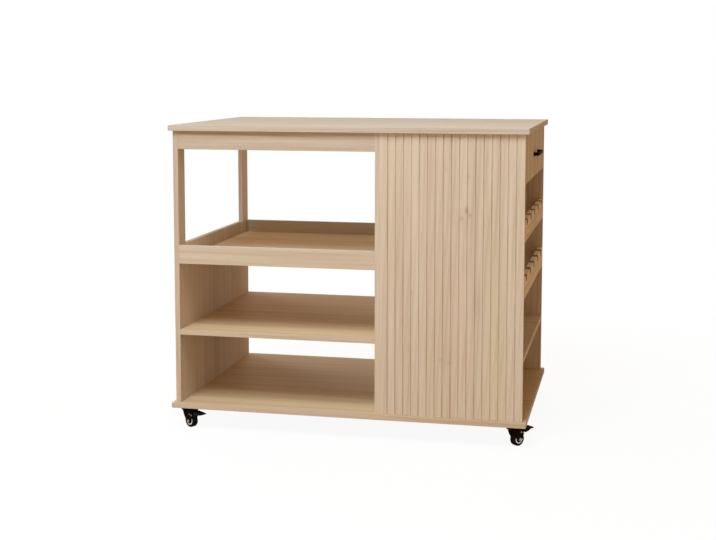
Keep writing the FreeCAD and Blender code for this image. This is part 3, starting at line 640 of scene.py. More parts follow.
class Shape:
    """A mesh in the making, in millimetres, with the operations that this cart's pieces need."""

    MERGED = 0.002
    FLAT_DEGREES = 1.0
    DRUM_SIDES = 40
    HALF_ROUND = 0.5

    def __init__(self) -> None:
        """Start with nothing."""
        self.mesh = bmesh.new()

    @classmethod
    def of_node(cls, node: str) -> "Shape":
        """Start from a merged copy of a frame node, whose flat faces are whole again.

        Args:
            node: The node's name.

        Returns:
            The copy, in millimetres.
        """
        shape = cls()
        shape.mesh.from_mesh(frame["nodes"][node].data)
        bmesh.ops.scale(shape.mesh, verts=shape.mesh.verts, vec=Vector((1 / MM,) * 3))
        bmesh.ops.remove_doubles(shape.mesh, verts=shape.mesh.verts, dist=cls.MERGED)
        bmesh.ops.dissolve_limit(
            shape.mesh,
            angle_limit=math.radians(cls.FLAT_DEGREES),
            use_dissolve_boundaries=False,
            verts=shape.mesh.verts,
            edges=shape.mesh.edges,
        )
        return shape

    def plate(self, outline: Sequence[Pair], low: float, high: float) -> list[bmesh.types.BMVert]:
        """Raise an outline in X and Z into a plate across Y.

        Args:
            outline: The corners, as pairs of X and Z.
            low: The plate's lower Y.
            high: Its upper Y.

        Returns:
            The plate's vertices.
        """
        corners = [self.mesh.verts.new((x, low, z)) for x, z in outline]
        face = self.mesh.faces.new(corners)
        raised = bmesh.ops.extrude_face_region(self.mesh, geom=[face])["geom"]
        lifted = [item for item in raised if isinstance(item, bmesh.types.BMVert)]
        bmesh.ops.translate(self.mesh, verts=lifted, vec=Vector((0, high - low, 0)))
        return corners + lifted

    def block(self, size: Triple, centre: Triple) -> list[bmesh.types.BMVert]:
        """Add a block.

        Args:
            size: Its three sizes.
            centre: Its middle.

        Returns:
            Its vertices.
        """
        made = bmesh.ops.create_cube(self.mesh, size=1.0)["verts"]
        bmesh.ops.scale(self.mesh, verts=made, vec=Vector(size))
        bmesh.ops.translate(self.mesh, verts=made, vec=Vector(centre))
        return made

    def drum(self, radius: float, depth: float, centre: Triple, turn: Matrix) -> None:
        """Add a short cylinder.

        Args:
            radius: Its radius.
            depth: Its length.
            centre: Its middle.
            turn: The turn that brings Z onto its axis.
        """
        bmesh.ops.create_cone(
            self.mesh,
            cap_ends=True,
            segments=self.DRUM_SIDES,
            radius1=radius,
            radius2=radius,
            depth=depth,
            matrix=Matrix.Translation(centre) @ turn,
        )

    def turned(self, profile: Sequence[Pair], centre: Triple, closed: bool, steps: int) -> None:
        """Turn a profile about an axis along Y.

        Args:
            profile: The outline, as pairs of place along Y and radius.
            centre: A point on the axis.
            closed: Whether the last point joins the first.
            steps: How many faces go round.
        """
        offsets = [Vector((radius, across, 0)) for across, radius in profile]
        points = [self.mesh.verts.new(Vector(centre) + offset) for offset in offsets]
        pairs = list(zip(points, points[1:]))
        if closed:
            pairs.append((points[-1], points[0]))
        edges = [self.mesh.edges.new(pair) for pair in pairs]
        bmesh.ops.spin(
            self.mesh,
            geom=points + edges,
            cent=Vector(centre),
            axis=Vector((0, 1, 0)),
            angle=math.tau,
            steps=steps,
            use_merge=True,
        )

    def soften(self, rounding: Rounding) -> None:
        """Round every edge that is sharp enough.

        Args:
            rounding: How the edges are rounded.
        """
        limit = math.radians(rounding.sharper_than)
        joined = [edge for edge in self.mesh.edges if len(edge.link_faces) == 2]
        sharp = [edge for edge in joined if edge.calc_face_angle() > limit]
        bmesh.ops.bevel(
            self.mesh,
            geom=sharp,
            offset=rounding.width,
            offset_type="OFFSET",
            affect="EDGES",
            segments=rounding.segments,
            profile=self.HALF_ROUND,
            material=-1,
            clamp_overlap=True,
        )

    def sink_cross(self, face: bmesh.types.BMFace, arm: float, width: float, depth: float) -> None:
        """Sink the cross of a screwdriver slot into a flat face.

        Args:
            face: The face.
            arm: Half the length of the slot.
            width: Its width.
            depth: Its depth.
        """
        normal, centre = face.normal.copy(), face.calc_center_bounds()
        side = normal.orthogonal().normalized()
        other = normal.cross(side)
        rim = list(face.edges)
        bmesh.ops.delete(self.mesh, geom=[face], context="FACES_ONLY")
        half = width / 2
        quarter = ((arm, -half), (arm, half), (half, half))
        corners = []
        for step in range(4):
            spin = Matrix.Rotation(step * math.pi / 2, 2)
            corners += [spin @ Vector(corner) for corner in quarter]
        points = [self.mesh.verts.new(centre + side * a + other * b) for a, b in corners]
        slot = [self.mesh.edges.new((points[i - 1], points[i])) for i in range(len(points))]
        bmesh.ops.triangle_fill(self.mesh, use_beauty=True, edges=rim + slot, normal=normal)
        walls = bmesh.ops.extrude_edge_only(self.mesh, edges=slot)["geom"]
        low = [item for item in walls if isinstance(item, bmesh.types.BMVert)]
        bmesh.ops.translate(self.mesh, verts=low, vec=normal * -depth)
        sides = [item for item in walls if isinstance(item, bmesh.types.BMEdge)]
        floor = [item for item in sides if set(item.verts) <= set(low)]
        bmesh.ops.contextual_create(self.mesh, geom=floor)

    def move(self, matrix: Matrix) -> None:
        """Move the whole shape."""
        bmesh.ops.transform(self.mesh, matrix=matrix, verts=self.mesh.verts)

    def finish(
        self, name: str, material: bpy.types.Material, smooth_below: float = 40.0
    ) -> bpy.types.Object:
        """Close the mesh and make its object, in metres.

        Args:
            name: The piece's name.
            material: Its finish.
            smooth_below: The angle in degrees up to which neighbouring faces are shaded as one.

        Returns:
            The object, at the origin.
        """
        bmesh.ops.scale(self.mesh, verts=self.mesh.verts, vec=Vector((MM,) * 3))
        bmesh.ops.recalc_face_normals(self.mesh, faces=self.mesh.faces)
        limit = math.radians(smooth_below)
        for face in self.mesh.faces:
            face.smooth = True
        for edge in self.mesh.edges:
            edge.smooth = len(edge.link_faces) == 2 and edge.calc_face_angle() < limit
        data = bpy.data.meshes.new(name)
        self.mesh.to_mesh(data)
        self.mesh.free()
        data.materials.append(material)
        piece = bpy.data.objects.new(name, data)
        bpy.context.scene.collection.objects.link(piece)
        return piece


def dress(node: str, material: bpy.types.Material) -> None:
    """Give a frame node its finish.

    Args:
        node: The node's name.
        material: The finish.
    """
    piece = frame["nodes"][node]
    if not piece.material_slots:
        piece.data.materials.append(material)
    for slot in piece.material_slots:
        slot.material = material
    LOG.info("%s wears %s", node, material.name)


def settle(piece: bpy.types.Object, body: str, nodes: Iterable[str] = ()) -> None:
    """Fix a new piece to its body.

    Args:
        piece: The piece.
        body: The body it moves with.
        nodes: The frame nodes it stands for.
    """
    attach(piece, body)
    if nodes:
        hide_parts(*nodes)
    LOG.info("%s rides on %s", piece.name, body)


@dataclass(frozen=True)
class Board:
    """One board of the cart.

    Attributes:
        node: Its node in the frame.
        grain: The way its grain runs.
        seed: Where in the trunk it was cut.
        tint: The colour it is multiplied by; on most boards this is painted shade or painted light.
        contrast: How strongly its figure shows.
        lit_rim: The tint of its edges, painted lighter than its shaded faces, if that differs.
    """

    node: str
    grain: Grain
    seed: float
    tint: Triple = (1.0, 1.0, 1.0)
    contrast: float = 1.0
    lit_rim: Triple | None = None

    def veneer(self) -> OakFinish:
        """Give the veneer of the board's faces, cut along its length.

        Returns:
            The finish.
        """
        return OakFinish(
            f"oak_{self.node}",
            self.grain,
            self.seed,
            self.tint,
            self.contrast,
            lit_rim=LitRim(self.node, self.lit_rim) if self.lit_rim else None,
        )

    def with_painted_light(self, name: str, tint: Triple, contrast: float) -> OakFinish:
        """Give the same wood with shade or light painted into it, in another tint.

        Args:
            name: Where the light or shade is painted, as the start of the material's name.
            tint: The tint that paints it.
            contrast: How strongly the figure shows.

        Returns:
            The finish.
        """
        return OakFinish(f"{name}_{self.node}", self.grain, self.seed, tint, contrast)


@dataclass(frozen=True)
class Boards:
    """Every board of the cart: the worktop, the base, the panels, the rails and the shelves.

    Attributes:
        plain: The boards with one finish all over, most of them tinted with painted shade or
            painted light.
        notched: The rails that bottles lie in.
        notch_shade_tint: The darker tint inside a notch, painted shade.
        lit_top_tint: The paler tint of a notched rail's level top face, painted light.
        notch_and_top_contrast: How strongly the figure shows on both.
        margin: How far a notch lies inside the rail's outer faces at least, in millimetres.
        level: The upward part of a face's normal above which it counts as level.
        notch_normal_x: The part of a face's normal along X below which it can be a notch's.
        fluted_seed: Where in the trunk the fluted front was cut.
        fluted_contrast: How strongly its figure shows.
        fluted_figure: How dark its growth rings are.
        side_seed: Where in the trunk the drawer's sides and bottom were cut.
        side_figure: How dark their growth rings are.
        knots: The dark marks in the fluted front.
    """

    plain: tuple[Board, ...] = (
        # Most tints here are painted light and shade. The worktop is darkened against the light on
        # its top. The top front rail, tray back rail, shelves, base, left panel and drawer front
        # are darkened or warmed as the shade on them. The tray floor is lightened as the light on
        # it.
        Board("top_board", Grain.ALONG_WIDTH, 1.0, (0.89, 0.93, 0.965)),
        Board("base_board", Grain.ALONG_WIDTH, 2.0, (0.91, 0.81, 0.63), lit_rim=(0.91, 0.88, 0.83)),
        Board("top_front_rail", Grain.ALONG_WIDTH, 3.0, (0.82, 0.79, 0.75), 2.0),
        Board("top_back_rail", Grain.ALONG_WIDTH, 4.0),
        Board("tray_front_rail", Grain.ALONG_WIDTH, 5.2, contrast=0.7),
        Board("tray_back_rail", Grain.ALONG_WIDTH, 6.0, (0.78, 0.78, 0.75)),
        Board("tray_floor", Grain.ALONG_WIDTH, 7.0, (1.20, 1.17, 1.05)),
        Board("mid_shelf", Grain.ALONG_WIDTH, 8.0, (0.95, 0.84, 0.64), lit_rim=(0.96, 0.94, 0.93)),
        Board("low_shelf", Grain.ALONG_WIDTH, 9.0, (0.98, 0.95, 0.88)),
        Board("left_side_panel", Grain.UPRIGHT, 11.0, (0.95, 0.95, 0.97)),
        Board("divider_panel", Grain.UPRIGHT, 12.0),
        Board("back_panel", Grain.UPRIGHT, 13.0, contrast=1.5),
        Board("upper_body_rail", Grain.ALONG_DEPTH, 16.0),
        Board("lower_body_rail", Grain.ALONG_DEPTH, 17.0),
        Board("drawer_front", Grain.UPRIGHT, 18.0, (0.95, 0.87, 0.73), 2.6),
        Board("drawer_back", Grain.ALONG_DEPTH, 19.0),
    )
    notched: tuple[Board, ...] = (
        # The rails' own tint is painted light, lightening them in the shaded end niche.
        Board("upper_neck_rail", Grain.ALONG_DEPTH, 14.0, (1.14, 1.07, 0.98), 1.5),
        Board("lower_neck_rail", Grain.ALONG_DEPTH, 15.0, (1.14, 1.07, 0.98), 1.5),
    )
    notch_shade_tint: Triple = (0.42, 0.38, 0.33)
    lit_top_tint: Triple = (1.32, 1.36, 1.40)
    notch_and_top_contrast: float = 0.6
    margin: float = 1.0
    level: float = 0.9
    notch_normal_x: float = 0.5
    fluted_seed: float = 21.0
    fluted_contrast: float = 0.80
    fluted_figure: float = 0.16
    side_seed: float = 22.0
    side_figure: float = 0.05
    knots: tuple[Knot, ...] = (
        Knot(0.294, 0.789, 0.008, 0.013, 0.15),
        Knot(0.357, 0.770, 0.008, 0.012, 0.16),
        Knot(0.352, 0.674, 0.010, 0.016, 0.38),
        Knot(0.362, 0.660, 0.009, 0.013, 0.30),
        Knot(0.338, 0.650, 0.010, 0.011, 0.24),
        Knot(0.346, 0.640, 0.034, 0.060, 0.10),
        Knot(0.346, 0.540, 0.026, 0.110, 0.07),
        Knot(0.384, 0.405, 0.020, 0.080, 0.12),
        Knot(0.380, 0.450, 0.034, 0.140, 0.07),
        Knot(0.281, 0.246, 0.009, 0.012, 0.18),
        Knot(0.305, 0.238, 0.009, 0.011, 0.18),
        Knot(0.290, 0.262, 0.040, 0.080, 0.07),
        Knot(0.354, 0.127, 0.007, 0.012, 0.16),
        Knot(0.199, 0.433, 0.008, 0.020, 0.12),
    )

    CUT_SLOT, EDGE_SLOT = 1, 2

    def make(self) -> None:
        """Dress every board in veneer whose grain runs along its length."""
        for board in self.plain:
            dress(board.node, board.veneer().make())
        front = OakFinish(
            "oak_fluted_front",
            Grain.UPRIGHT,
            self.fluted_seed,
            contrast=self.fluted_contrast,
            figure=self.fluted_figure,
            knots=self.knots,
        )
        dress("fluted_front_panel", front.make())
        for board in self.notched:
            self._notch(board)
        sides = OakFinish(
            "oak_drawer_sides", Grain.ALONG_WIDTH, self.side_seed, figure=self.side_figure
        )
        material = sides.make()
        for node in ("drawer_near_side", "drawer_far_side", "drawer_bottom"):
            dress(node, material)

    def _notch(self, board: Board) -> None:
        """Paint shade into a bottle rail's notches and light onto its level top face, in darker and
        paler tints of its veneer.

        Args:
            board: The rail.
        """
        # cut is the notches' painted shade and edge is the top face's painted light.
        cut = board.with_painted_light("cut", self.notch_shade_tint, self.notch_and_top_contrast)
        edge = board.with_painted_light("edge", self.lit_top_tint, self.notch_and_top_contrast)
        shape = Shape.of_node(board.node)
        low, high = corners_of(list(shape.mesh.verts))
        top = high.z - self.margin
        for face in shape.mesh.faces:
            centre = face.calc_center_bounds()
            on_top = face.normal.z > self.level and centre.z > top
            above = (low.z + high.z) / 2 < centre.z < top
            inside = low.y + self.margin < centre.y < high.y - self.margin
            if on_top:
                face.material_index = self.EDGE_SLOT
            elif above and inside and abs(face.normal.x) < self.notch_normal_x:
                face.material_index = self.CUT_SLOT
        piece = shape.finish(f"notched_{board.node}", board.veneer().make())
        for finish in (cut, edge):
            piece.data.materials.append(finish.make())
        settle(piece, "cart", [board.node])


@dataclass
class Pull:
    """The black bow pull on the drawer, with a round foot at each end, in millimetres.

    Attributes:
        bar: The thickness of the bow.
        height: Its height.
        foot: The width of its legs.
        rosette_radius: The radius of the round foot under a leg.
        rosette_depth: The thickness of that foot.
        slope_share: How much of the bow's thickness a slanted corner takes.
        rounding: How its edges are rounded.
    """

    bar: float = 6.0
    height: float = 10.0
    foot: float = 10.0
    rosette_radius: float = 6.5
    rosette_depth: float = 1.6
    slope_share: float = 0.75
    rounding: Rounding = Rounding(1.6, 4, 20.0)

    def make(self) -> None:
        """Build the bow and its feet, and put them on the drawer."""
        low, high = (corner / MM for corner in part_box("drawer_pull"))
        shape = Shape()
        face, tip = low.x, high.x
        inner = tip - self.bar
        slope = self.bar * self.slope_share
        outline = (
            (face, low.y),
            (tip - slope, low.y),
            (tip, low.y + slope),
            (tip, high.y - slope),
            (tip - slope, high.y),
            (face, high.y),
            (face, high.y - self.foot),
            (inner - slope / 2, high.y - self.foot),
            (inner, high.y - self.foot - slope / 2),
            (inner, low.y + self.foot + slope / 2),
            (inner - slope / 2, low.y + self.foot),
            (face, low.y + self.foot),
        )
        middle = (low.z + high.z) / 2
        shape.plate(outline, -self.height / 2, self.height / 2)
        shape.move(Matrix.Translation((0, 0, middle)) @ Matrix.Rotation(math.pi / 2, 4, "X"))
        bmesh.ops.scale(shape.mesh, verts=shape.mesh.verts, vec=Vector((1, -1, 1)))
        shape.soften(self.rounding)
        lie = Matrix.Rotation(math.pi / 2, 4, "Y")
        for end in (low.y + self.foot / 2, high.y - self.foot / 2):
            centre = (face + self.rosette_depth / 2, end, middle)
            shape.drum(self.rosette_radius, self.rosette_depth, centre, lie)
        piece = shape.finish("bow_pull", BLACK_METAL.make())
        settle(piece, "drawer", ["drawer_pull"])


@dataclass
class Slides:
    """The drawer's telescopic slides."""

    members: tuple[str, ...] = ("cabinet", "middle", "drawer")

    def make(self) -> None:
        """Dress the members in zinc."""
        zinc = ZINC.make()
        for side in ("near", "far"):
            for member in self.members:
                dress(f"{side}_slide_{member}", zinc)


@dataclass
class Fixings:
    """The screws, cams, bolts, dowels and kingpins, with the slots that a driver turns.

    Attributes:
        arm_share: Half a slot's length, as a share of the head's radius.
        slot_share: A slot's width, as a share of half its length.
        slot_depth: Its depth, in millimetres.
        facing: The part of a face's normal out of the head above which it can be the head's end.
        smooth_below: The angle in degrees up to which neighbouring faces are shaded as one.
        slotted: The groups that have slots, each with the body it moves with.
    """

    arm_share: float = 0.55
    slot_share: float = 0.60
    slot_depth: float = 1.4
    facing: float = 0.99
    smooth_below: float = 30.0
    slotted: tuple[tuple[str, str], ...] = (
        ("base_screws", "cart"),
        ("caster_screws", "cart"),
        ("cam_discs", "cart"),
        ("drawer_pull_screws", "drawer"),
    )

    def make(self) -> None:
        """Sink a cross into each head, and dress what has none."""
        zinc = ZINC.make()
        for node, body in self.slotted:
            self._slot(node, body, zinc)
        for node in ("cam_bolts", "caster_kingpins"):
            dress(node, zinc)
        dress("dowels", BEECH.make())

    def _outward(self, node: str, low: Vector, high: Vector) -> Vector:
        """Find the way in which one head faces.

        Args:
            node: The frame node it belongs to.
            low: The lowest corner of its solid.
            high: The highest corner.

        Returns:
            The unit vector out of the head.
        """
        if node == "drawer_pull_screws":
            return Vector((-1, 0, 0))
        if node != "cam_discs":
            return Vector((0, 0, -1))
        size = high - low
        if size.x < min(size.y, size.z):
            return Vector((1, 0, 0))
        if size.z < min(size.x, size.y):
            return Vector((0, 0, -1))
        return Vector((0, -1 if low.y > 0 else 1, 0))

    def _slot(self, node: str, body: str, material: bpy.types.Material) -> None:
        """Replace a group of fixings with the same ones, each with a cross in its head.

        Args:
            node: The frame node of the group.
            body: The body it moves with.
            material: The finish.
        """
        shape = Shape.of_node(node)
        for solid in loose_solids(shape.mesh):
            low, high = corners_of(solid)
            outward = self._outward(node, low, high)
            faces = {face for point in solid for face in point.link_faces}
            ends = [face for face in faces if face.normal.dot(outward) > self.facing]
            head = max(ends, key=lambda face: face.calc_center_bounds().dot(outward))
            arm = math.sqrt(head.calc_area() / math.pi) * self.arm_share
            shape.sink_cross(head, arm, arm * self.slot_share, self.slot_depth)
        piece = shape.finish(f"slotted_{node}", material, self.smooth_below)
        settle(piece, body, [node])


def loose_solids(mesh: bmesh.types.BMesh) -> list[list[bmesh.types.BMVert]]:
    """Part a mesh into the solids that don't touch.

    Args:
        mesh: The mesh.

    Returns:
        The vertices of each solid.
    """
    left = set(mesh.verts)
    solids = []
    while left:
        start = left.pop()
        solid, queue = [start], [start]
        while queue:
            point = queue.pop()
            for edge in point.link_edges:
                other = edge.other_vert(point)
                if other in left:
                    left.remove(other)
                    solid.append(other)
                    queue.append(other)
        solids.append(solid)
    return solids


def corners_of(points: Sequence[bmesh.types.BMVert]) -> tuple[Vector, Vector]:
    """Find the box round some vertices.

    Args:
        points: The vertices.

    Returns:
        The box's lowest and highest corners.
    """
    low = Vector([min(point.co[axis] for point in points) for axis in range(3)])
    high = Vector([max(point.co[axis] for point in points) for axis in range(3)])
    return low, high


@dataclass
class CasterFinishes:
    """The finishes that the four casters share."""

    metal: bpy.types.Material = field(default_factory=BLACK_METAL.make)
    moulding: bpy.types.Material = field(default_factory=BLACK_PLASTIC.make)
    rubber: bpy.types.Material = field(default_factory=TYRE.make)
    hub: bpy.types.Material = field(default_factory=HUB.make)
    # The hub core's finish is painted shade.
    core: bpy.types.Material = field(default_factory=PAINTED_SHADE_HUB_CORE.make)
    axle: bpy.types.Material = field(default_factory=AXLE.make)


@dataclass(frozen=True)
class WheelSizes:
    """The sizes of a caster's wheel, in millimetres."""

    radius: float = 20.0
    half_width: float = 9.0
    shoulder: float = 3.2
    shoulder_steps: int = 6
    seam_half: float = 0.35
    seam_depth: float = 0.12
    tread_drop: float = 0.05
    lip: float = 1.6
    chamfer: float = 0.5
    tyre_gap: float = 0.05
    hub_radius: float = 12.5
    ring_width: float = 2.6
    ring_lap: float = 0.4
    bore_radius: float = 3.06
    bore_chamfer: float = 0.4
    boss_radius: float = 6.0
    web_half: float = 4.0
    web_corner: float = 0.6
    spokes: int = 6
    spoke_width: float = 1.5
    spoke_sink: float = 1.4
    spoke_root: float = 0.1
    round_steps: int = 72
    core_steps: int = 60


@dataclass(frozen=True)
class PedalSizes:
    """The sizes of a brake pedal in millimetres, from the swivel axis and from the floor.

    Those called rise or drop are measured from the height of the pivot.
    """

    pivot: Pair = (10.0, 46.0)
    pivot_radius: float = 2.0
    barrel_radius: float = 3.0
    lever_half_width: float = 8.5
    lever_half: float = 1.75
    lever_end: Pair = (-1.6, 2.0)
    lever_lap: float = 2.0
    shoe: Pair = (22.0, 27.0)
    shoe_drop: float = 4.1
    shoe_slope: float = 1.5
    half_width: float = 12.0
    root: float = 37.0
    tip: float = 68.0
    root_drop: float = 9.2
    root_rise: float = 5.2
    tip_drop: float = 1.2
    tip_rise: float = 2.2
    heel: Pair = (14.0, 3.7)
    instep: Pair = (18.0, 0.8)
    rounding: Rounding = Rounding(0.8, 3, 25.0)
    wall: float = 2.2
    hollow: Pair = (10.0, 5.0)
    ribs: int = 6
    first_rib_share: float = 0.16
    rib_pitch_share: float = 0.145
    rib_width: float = 1.5
    rib_height: float = 1.2
    rib_length: float = 18.6


@dataclass
class Caster:
    """One swivel caster, in millimetres, built about its swivel axis with the wheel towards +X.

    Attributes:
        corner: The corner it stands at, as the start of its nodes' names.
        finishes: The finishes that it shares with the others.
        braked: Whether it has a brake pedal.
        wheel: The sizes of its wheel.
        pedal: The sizes of its pedal.
        trail: How far the wheel's axle lies from the swivel axis.
        plate_rounding: How the edges of its mounting plate are rounded.
        fork_rounding: How the edges of its fork are rounded.
        fork_half: Half the fork's width.
        rivets: Where the rivets sit on a leg, as pairs of X and Z.
        rivet_dome: The outline of a rivet's head, as pairs of rise and radius.
        rivet_steps: How many faces go round it.
        rivet_merged: How close two points lie that become one.
        place: The transform that puts the caster in its place.
    """

    corner: str
    finishes: CasterFinishes
    braked: bool
    wheel: WheelSizes = WheelSizes()
    pedal: PedalSizes = PedalSizes()
    trail: float = 15.0
    plate_rounding: Rounding = Rounding(0.5, 2, 50.0)
    fork_rounding: Rounding = Rounding(0.55, 3, 35.0)
    fork_half: float = 12.5
    rivets: tuple[Pair, ...] = ((19.5, 41.0), (28.0, 38.5))
    rivet_dome: tuple[Pair, ...] = ((0.0, 2.3), (0.35, 2.25), (0.75, 1.8), (1.0, 1.1), (1.1, 0.0))
    rivet_steps: int = 24
    rivet_merged: float = 0.01
    place: Matrix = field(init=False)

    MOULDED_DEGREES = 30.0
    TURNED_DEGREES = 35.0
    DOMED_DEGREES = 60.0

    @property
    def axle(self) -> Triple:
        """The middle of the wheel."""
        return (self.trail, 0, self.wheel.radius)

    def make(self) -> None:
        """Build and place every piece of the caster."""
        self.place = self._placement()
        self._plate()
        self._fork()
        self._tyre()
        self._hub_core()
        self._hub_ring()
        dress(f"{self.corner}_axle", self.finishes.axle)
        if self.braked:
            self._pedal()
            self._rivets()

    def _placement(self) -> Matrix:
        """Read where the caster stands and which way it heads from the frame's joints.

        Returns:
            The transform that puts a shape built about the swivel axis in its place.
        """
        joints = {joint["name"]: joint for joint in frame["joints"]}
        x, y, _ = joints[f"{self.corner}_swivel"]["pos_m"]
        across = joints[f"{self.corner}_roll"]["axis"]
        heading = math.atan2(-across[0], across[1])
        return Matrix.Translation((x / MM, y / MM, 0)) @ Matrix.Rotation(heading, 4, "Z")

    def _plate(self) -> None:
        """Round the edges of the mounting plate and of the race under it."""
        shape = Shape.of_node(f"{self.corner}_plate")
        shape.soften(self.plate_rounding)
        piece = shape.finish(f"{self.corner}_mounting_plate", self.finishes.metal)
        settle(piece, "cart", [f"{self.corner}_plate"])

    def _fork(self) -> None:
        """Round the pressed edges of the fork."""
        shape = Shape.of_node(f"{self.corner}_fork")
        shape.soften(self.fork_rounding)
        piece = shape.finish(f"{self.corner}_pressed_fork", self.finishes.metal)
        settle(piece, f"{self.corner}_swivel_fork", [f"{self.corner}_fork"])

    def _tyre(self) -> None:
        """Turn the tyre, with a full shoulder and a fine moulding line round its middle."""
        size = self.wheel
        side, radius, shoulder = size.half_width, size.radius, size.shoulder
        inner, crown = size.hub_radius + size.tyre_gap, radius - size.tread_drop
        half = [(0.0, radius - size.seam_depth), (size.seam_half, radius), (side - shoulder, crown)]
        for step in range(1, size.shoulder_steps + 1):
            angle = step / size.shoulder_steps * math.pi / 2
            across = side - shoulder + shoulder * math.sin(angle)
            half.append((across, radius - shoulder + (crown - radius + shoulder) * math.cos(angle)))
        half += [
            (side, inner + size.lip),
            (side - size.chamfer, inner + size.lip - size.chamfer),
            (side - size.chamfer, inner),
        ]
        shape = Shape()
        shape.turned(half + self._mirrored(half[1:]), self.axle, True, size.round_steps)
        shape.move(self.place)
        rubber = self.finishes.rubber
        piece = shape.finish(f"{self.corner}_round_tyre", rubber, self.MOULDED_DEGREES)
        settle(piece, f"{self.corner}_wheel", [f"{self.corner}_tyre"])

    def _hub_core(self) -> None:
        """Turn the core of the hub, with its spokes, in a near-black that is painted shade in its
        recess.
        """
        size = self.wheel
        side, web, boss = size.half_width, size.web_half, size.boss_radius
        rim, corner = size.hub_radius - size.ring_width, size.web_corner
        outline = [
            (side - size.bore_chamfer, size.bore_radius),
            (side, size.bore_radius + size.bore_chamfer),
            (side, boss - size.chamfer),
            (side - size.chamfer, boss),
            (web + corner, boss),
            (web, boss + corner),
            (web, rim + size.ring_lap),
        ]
        shape = Shape()
        shape.turned(outline + self._mirrored(outline), self.axle, True, size.core_steps)
        depth = side - web - size.spoke_sink
        for face in (-1, 1):
            for index in range(size.spokes):
                middle = ((rim + boss) / 2, face * (web + depth / 2 - size.spoke_root), 0.0)
                spoke = shape.block((rim - boss + corner, depth, size.spoke_width), middle)
                turn = Matrix.Rotation(math.tau * index / size.spokes, 4, "Y")
                seat = Matrix.Translation(self.axle) @ turn
                bmesh.ops.transform(shape.mesh, matrix=seat, verts=spoke)
        shape.move(self.place)
        piece = shape.finish(f"{self.corner}_hub_core", self.finishes.core, self.TURNED_DEGREES)
        settle(piece, f"{self.corner}_wheel", [f"{self.corner}_hub"])

    def _hub_ring(self) -> None:
        """Turn the bright ring round the hub's core."""
        size = self.wheel
        side, outer, chamfer = size.half_width, size.hub_radius, size.chamfer
        rim = outer - size.ring_width
        half = [
            (side - chamfer, rim),
            (side, rim + chamfer),
            (side, outer - chamfer),
            (side - chamfer, outer),
        ]
        shape = Shape()
        shape.turned(half + self._mirrored(half), self.axle, True, size.round_steps)
        shape.move(self.place)
        piece = shape.finish(f"{self.corner}_hub_ring", self.finishes.hub, self.TURNED_DEGREES)
        settle(piece, f"{self.corner}_wheel", [f"{self.corner}_hub"])

    @staticmethod
    def _mirrored(outline: Sequence[Pair]) -> list[Pair]:
        """Give an outline's mirror image across the wheel's middle, in reverse order."""
        return [(-across, reach) for across, reach in reversed(outline)]

    def _pedal(self) -> None:
        """Mould the brake pedal: a lever with a shoe, and a hollow wedge with a ribbed tread."""
        size = self.pedal
        x, z = size.pivot
        shape = Shape()
        shape.plate(self._lever_outline(), -size.lever_half_width, size.lever_half_width)
        wedge = shape.plate(self._wedge_outline(), -size.half_width, size.half_width)
        faces = [face for face in shape.mesh.faces if all(corner in wedge for corner in face.verts)]
        self._hollow(shape, min(faces, key=lambda face: face.calc_center_median().z))
        shape.soften(size.rounding)
        self._ribs(shape)
        across = Matrix.Rotation(math.pi / 2, 4, "X")
        shape.drum(size.barrel_radius, size.lever_half_width * 2, (x, 0, z), across)
        shape.drum(size.pivot_radius, self.fork_half * 2, (x, 0, z), across)
        shape.move(self.place)
        moulding = self.finishes.moulding
        piece = shape.finish(f"{self.corner}_ribbed_pedal", moulding, self.MOULDED_DEGREES)
        settle(piece, f"{self.corner}_brake", [f"{self.corner}_brake_pedal"])

    def _lever_outline(self) -> list[Pair]:
        """Outline the lever and the shoe under it.

        Returns:
            The corners, as pairs of X and Z.
        """
        size = self.pedal
        x, z = size.pivot
        start, end = size.shoe
        low, high, far = z - size.lever_half, z + size.lever_half, size.root + size.lever_lap
        return [
            (x, low),
            (start, low),
            (start, z - size.shoe_drop),
            (end, z - size.shoe_drop),
            (end + size.shoe_slope, low),
            (far, z + size.lever_end[0]),
            (far, z + size.lever_end[1]),
            (x, high),
        ]

    def _wedge_outline(self) -> list[Pair]:
        """Outline the wedge, thick at its heel and thin towards its tip.

        Returns:
            The corners, as pairs of X and Z.
        """
        size = self.pedal
        z = size.pivot[1]
        low, tip_low = z - size.root_drop, z - size.tip_drop
        return [
            (size.root, low),
            (size.root + size.heel[0], low + size.heel[1]),
            (size.root + size.instep[0], tip_low - size.instep[1]),
            (size.tip, tip_low),
            (size.tip, z + size.tip_rise),
            (size.root, z + size.root_rise),
        ]

    def _hollow(self, shape: Shape, under: bmesh.types.BMFace) -> None:
        """Hollow the wedge's thick root from below.

        Args:
            shape: The pedal in the making.
            under: The wedge's lower face.
        """
        near, far = self.pedal.hollow
        wall = self.pedal.wall
        bmesh.ops.inset_region(shape.mesh, faces=[under], thickness=wall, use_even_offset=True)
        raised = bmesh.ops.extrude_discrete_faces(shape.mesh, faces=[under])["faces"][0]
        middle = raised.calc_center_bounds().x
        for corner in raised.verts:
            corner.co.z += near if corner.co.x < middle else far

    def _ribs(self, shape: Shape) -> None:
        """Lay the ribs across the tread.

        Args:
            shape: The pedal in the making.
        """
        size = self.pedal
        run, fall = size.tip - size.root, size.root_rise - size.tip_rise
        tilt = Matrix.Rotation(math.atan2(fall, run), 4, "Y")
        for index in range(size.ribs):
            share = size.first_rib_share + index * size.rib_pitch_share
            top = size.pivot[1] + size.root_rise - fall * share
            rib = shape.block((size.rib_width, size.rib_length, size.rib_height), (0, 0, 0))
            seat = Matrix.Translation((size.root + run * share, 0, top))
            bmesh.ops.transform(shape.mesh, matrix=seat @ tilt, verts=rib)

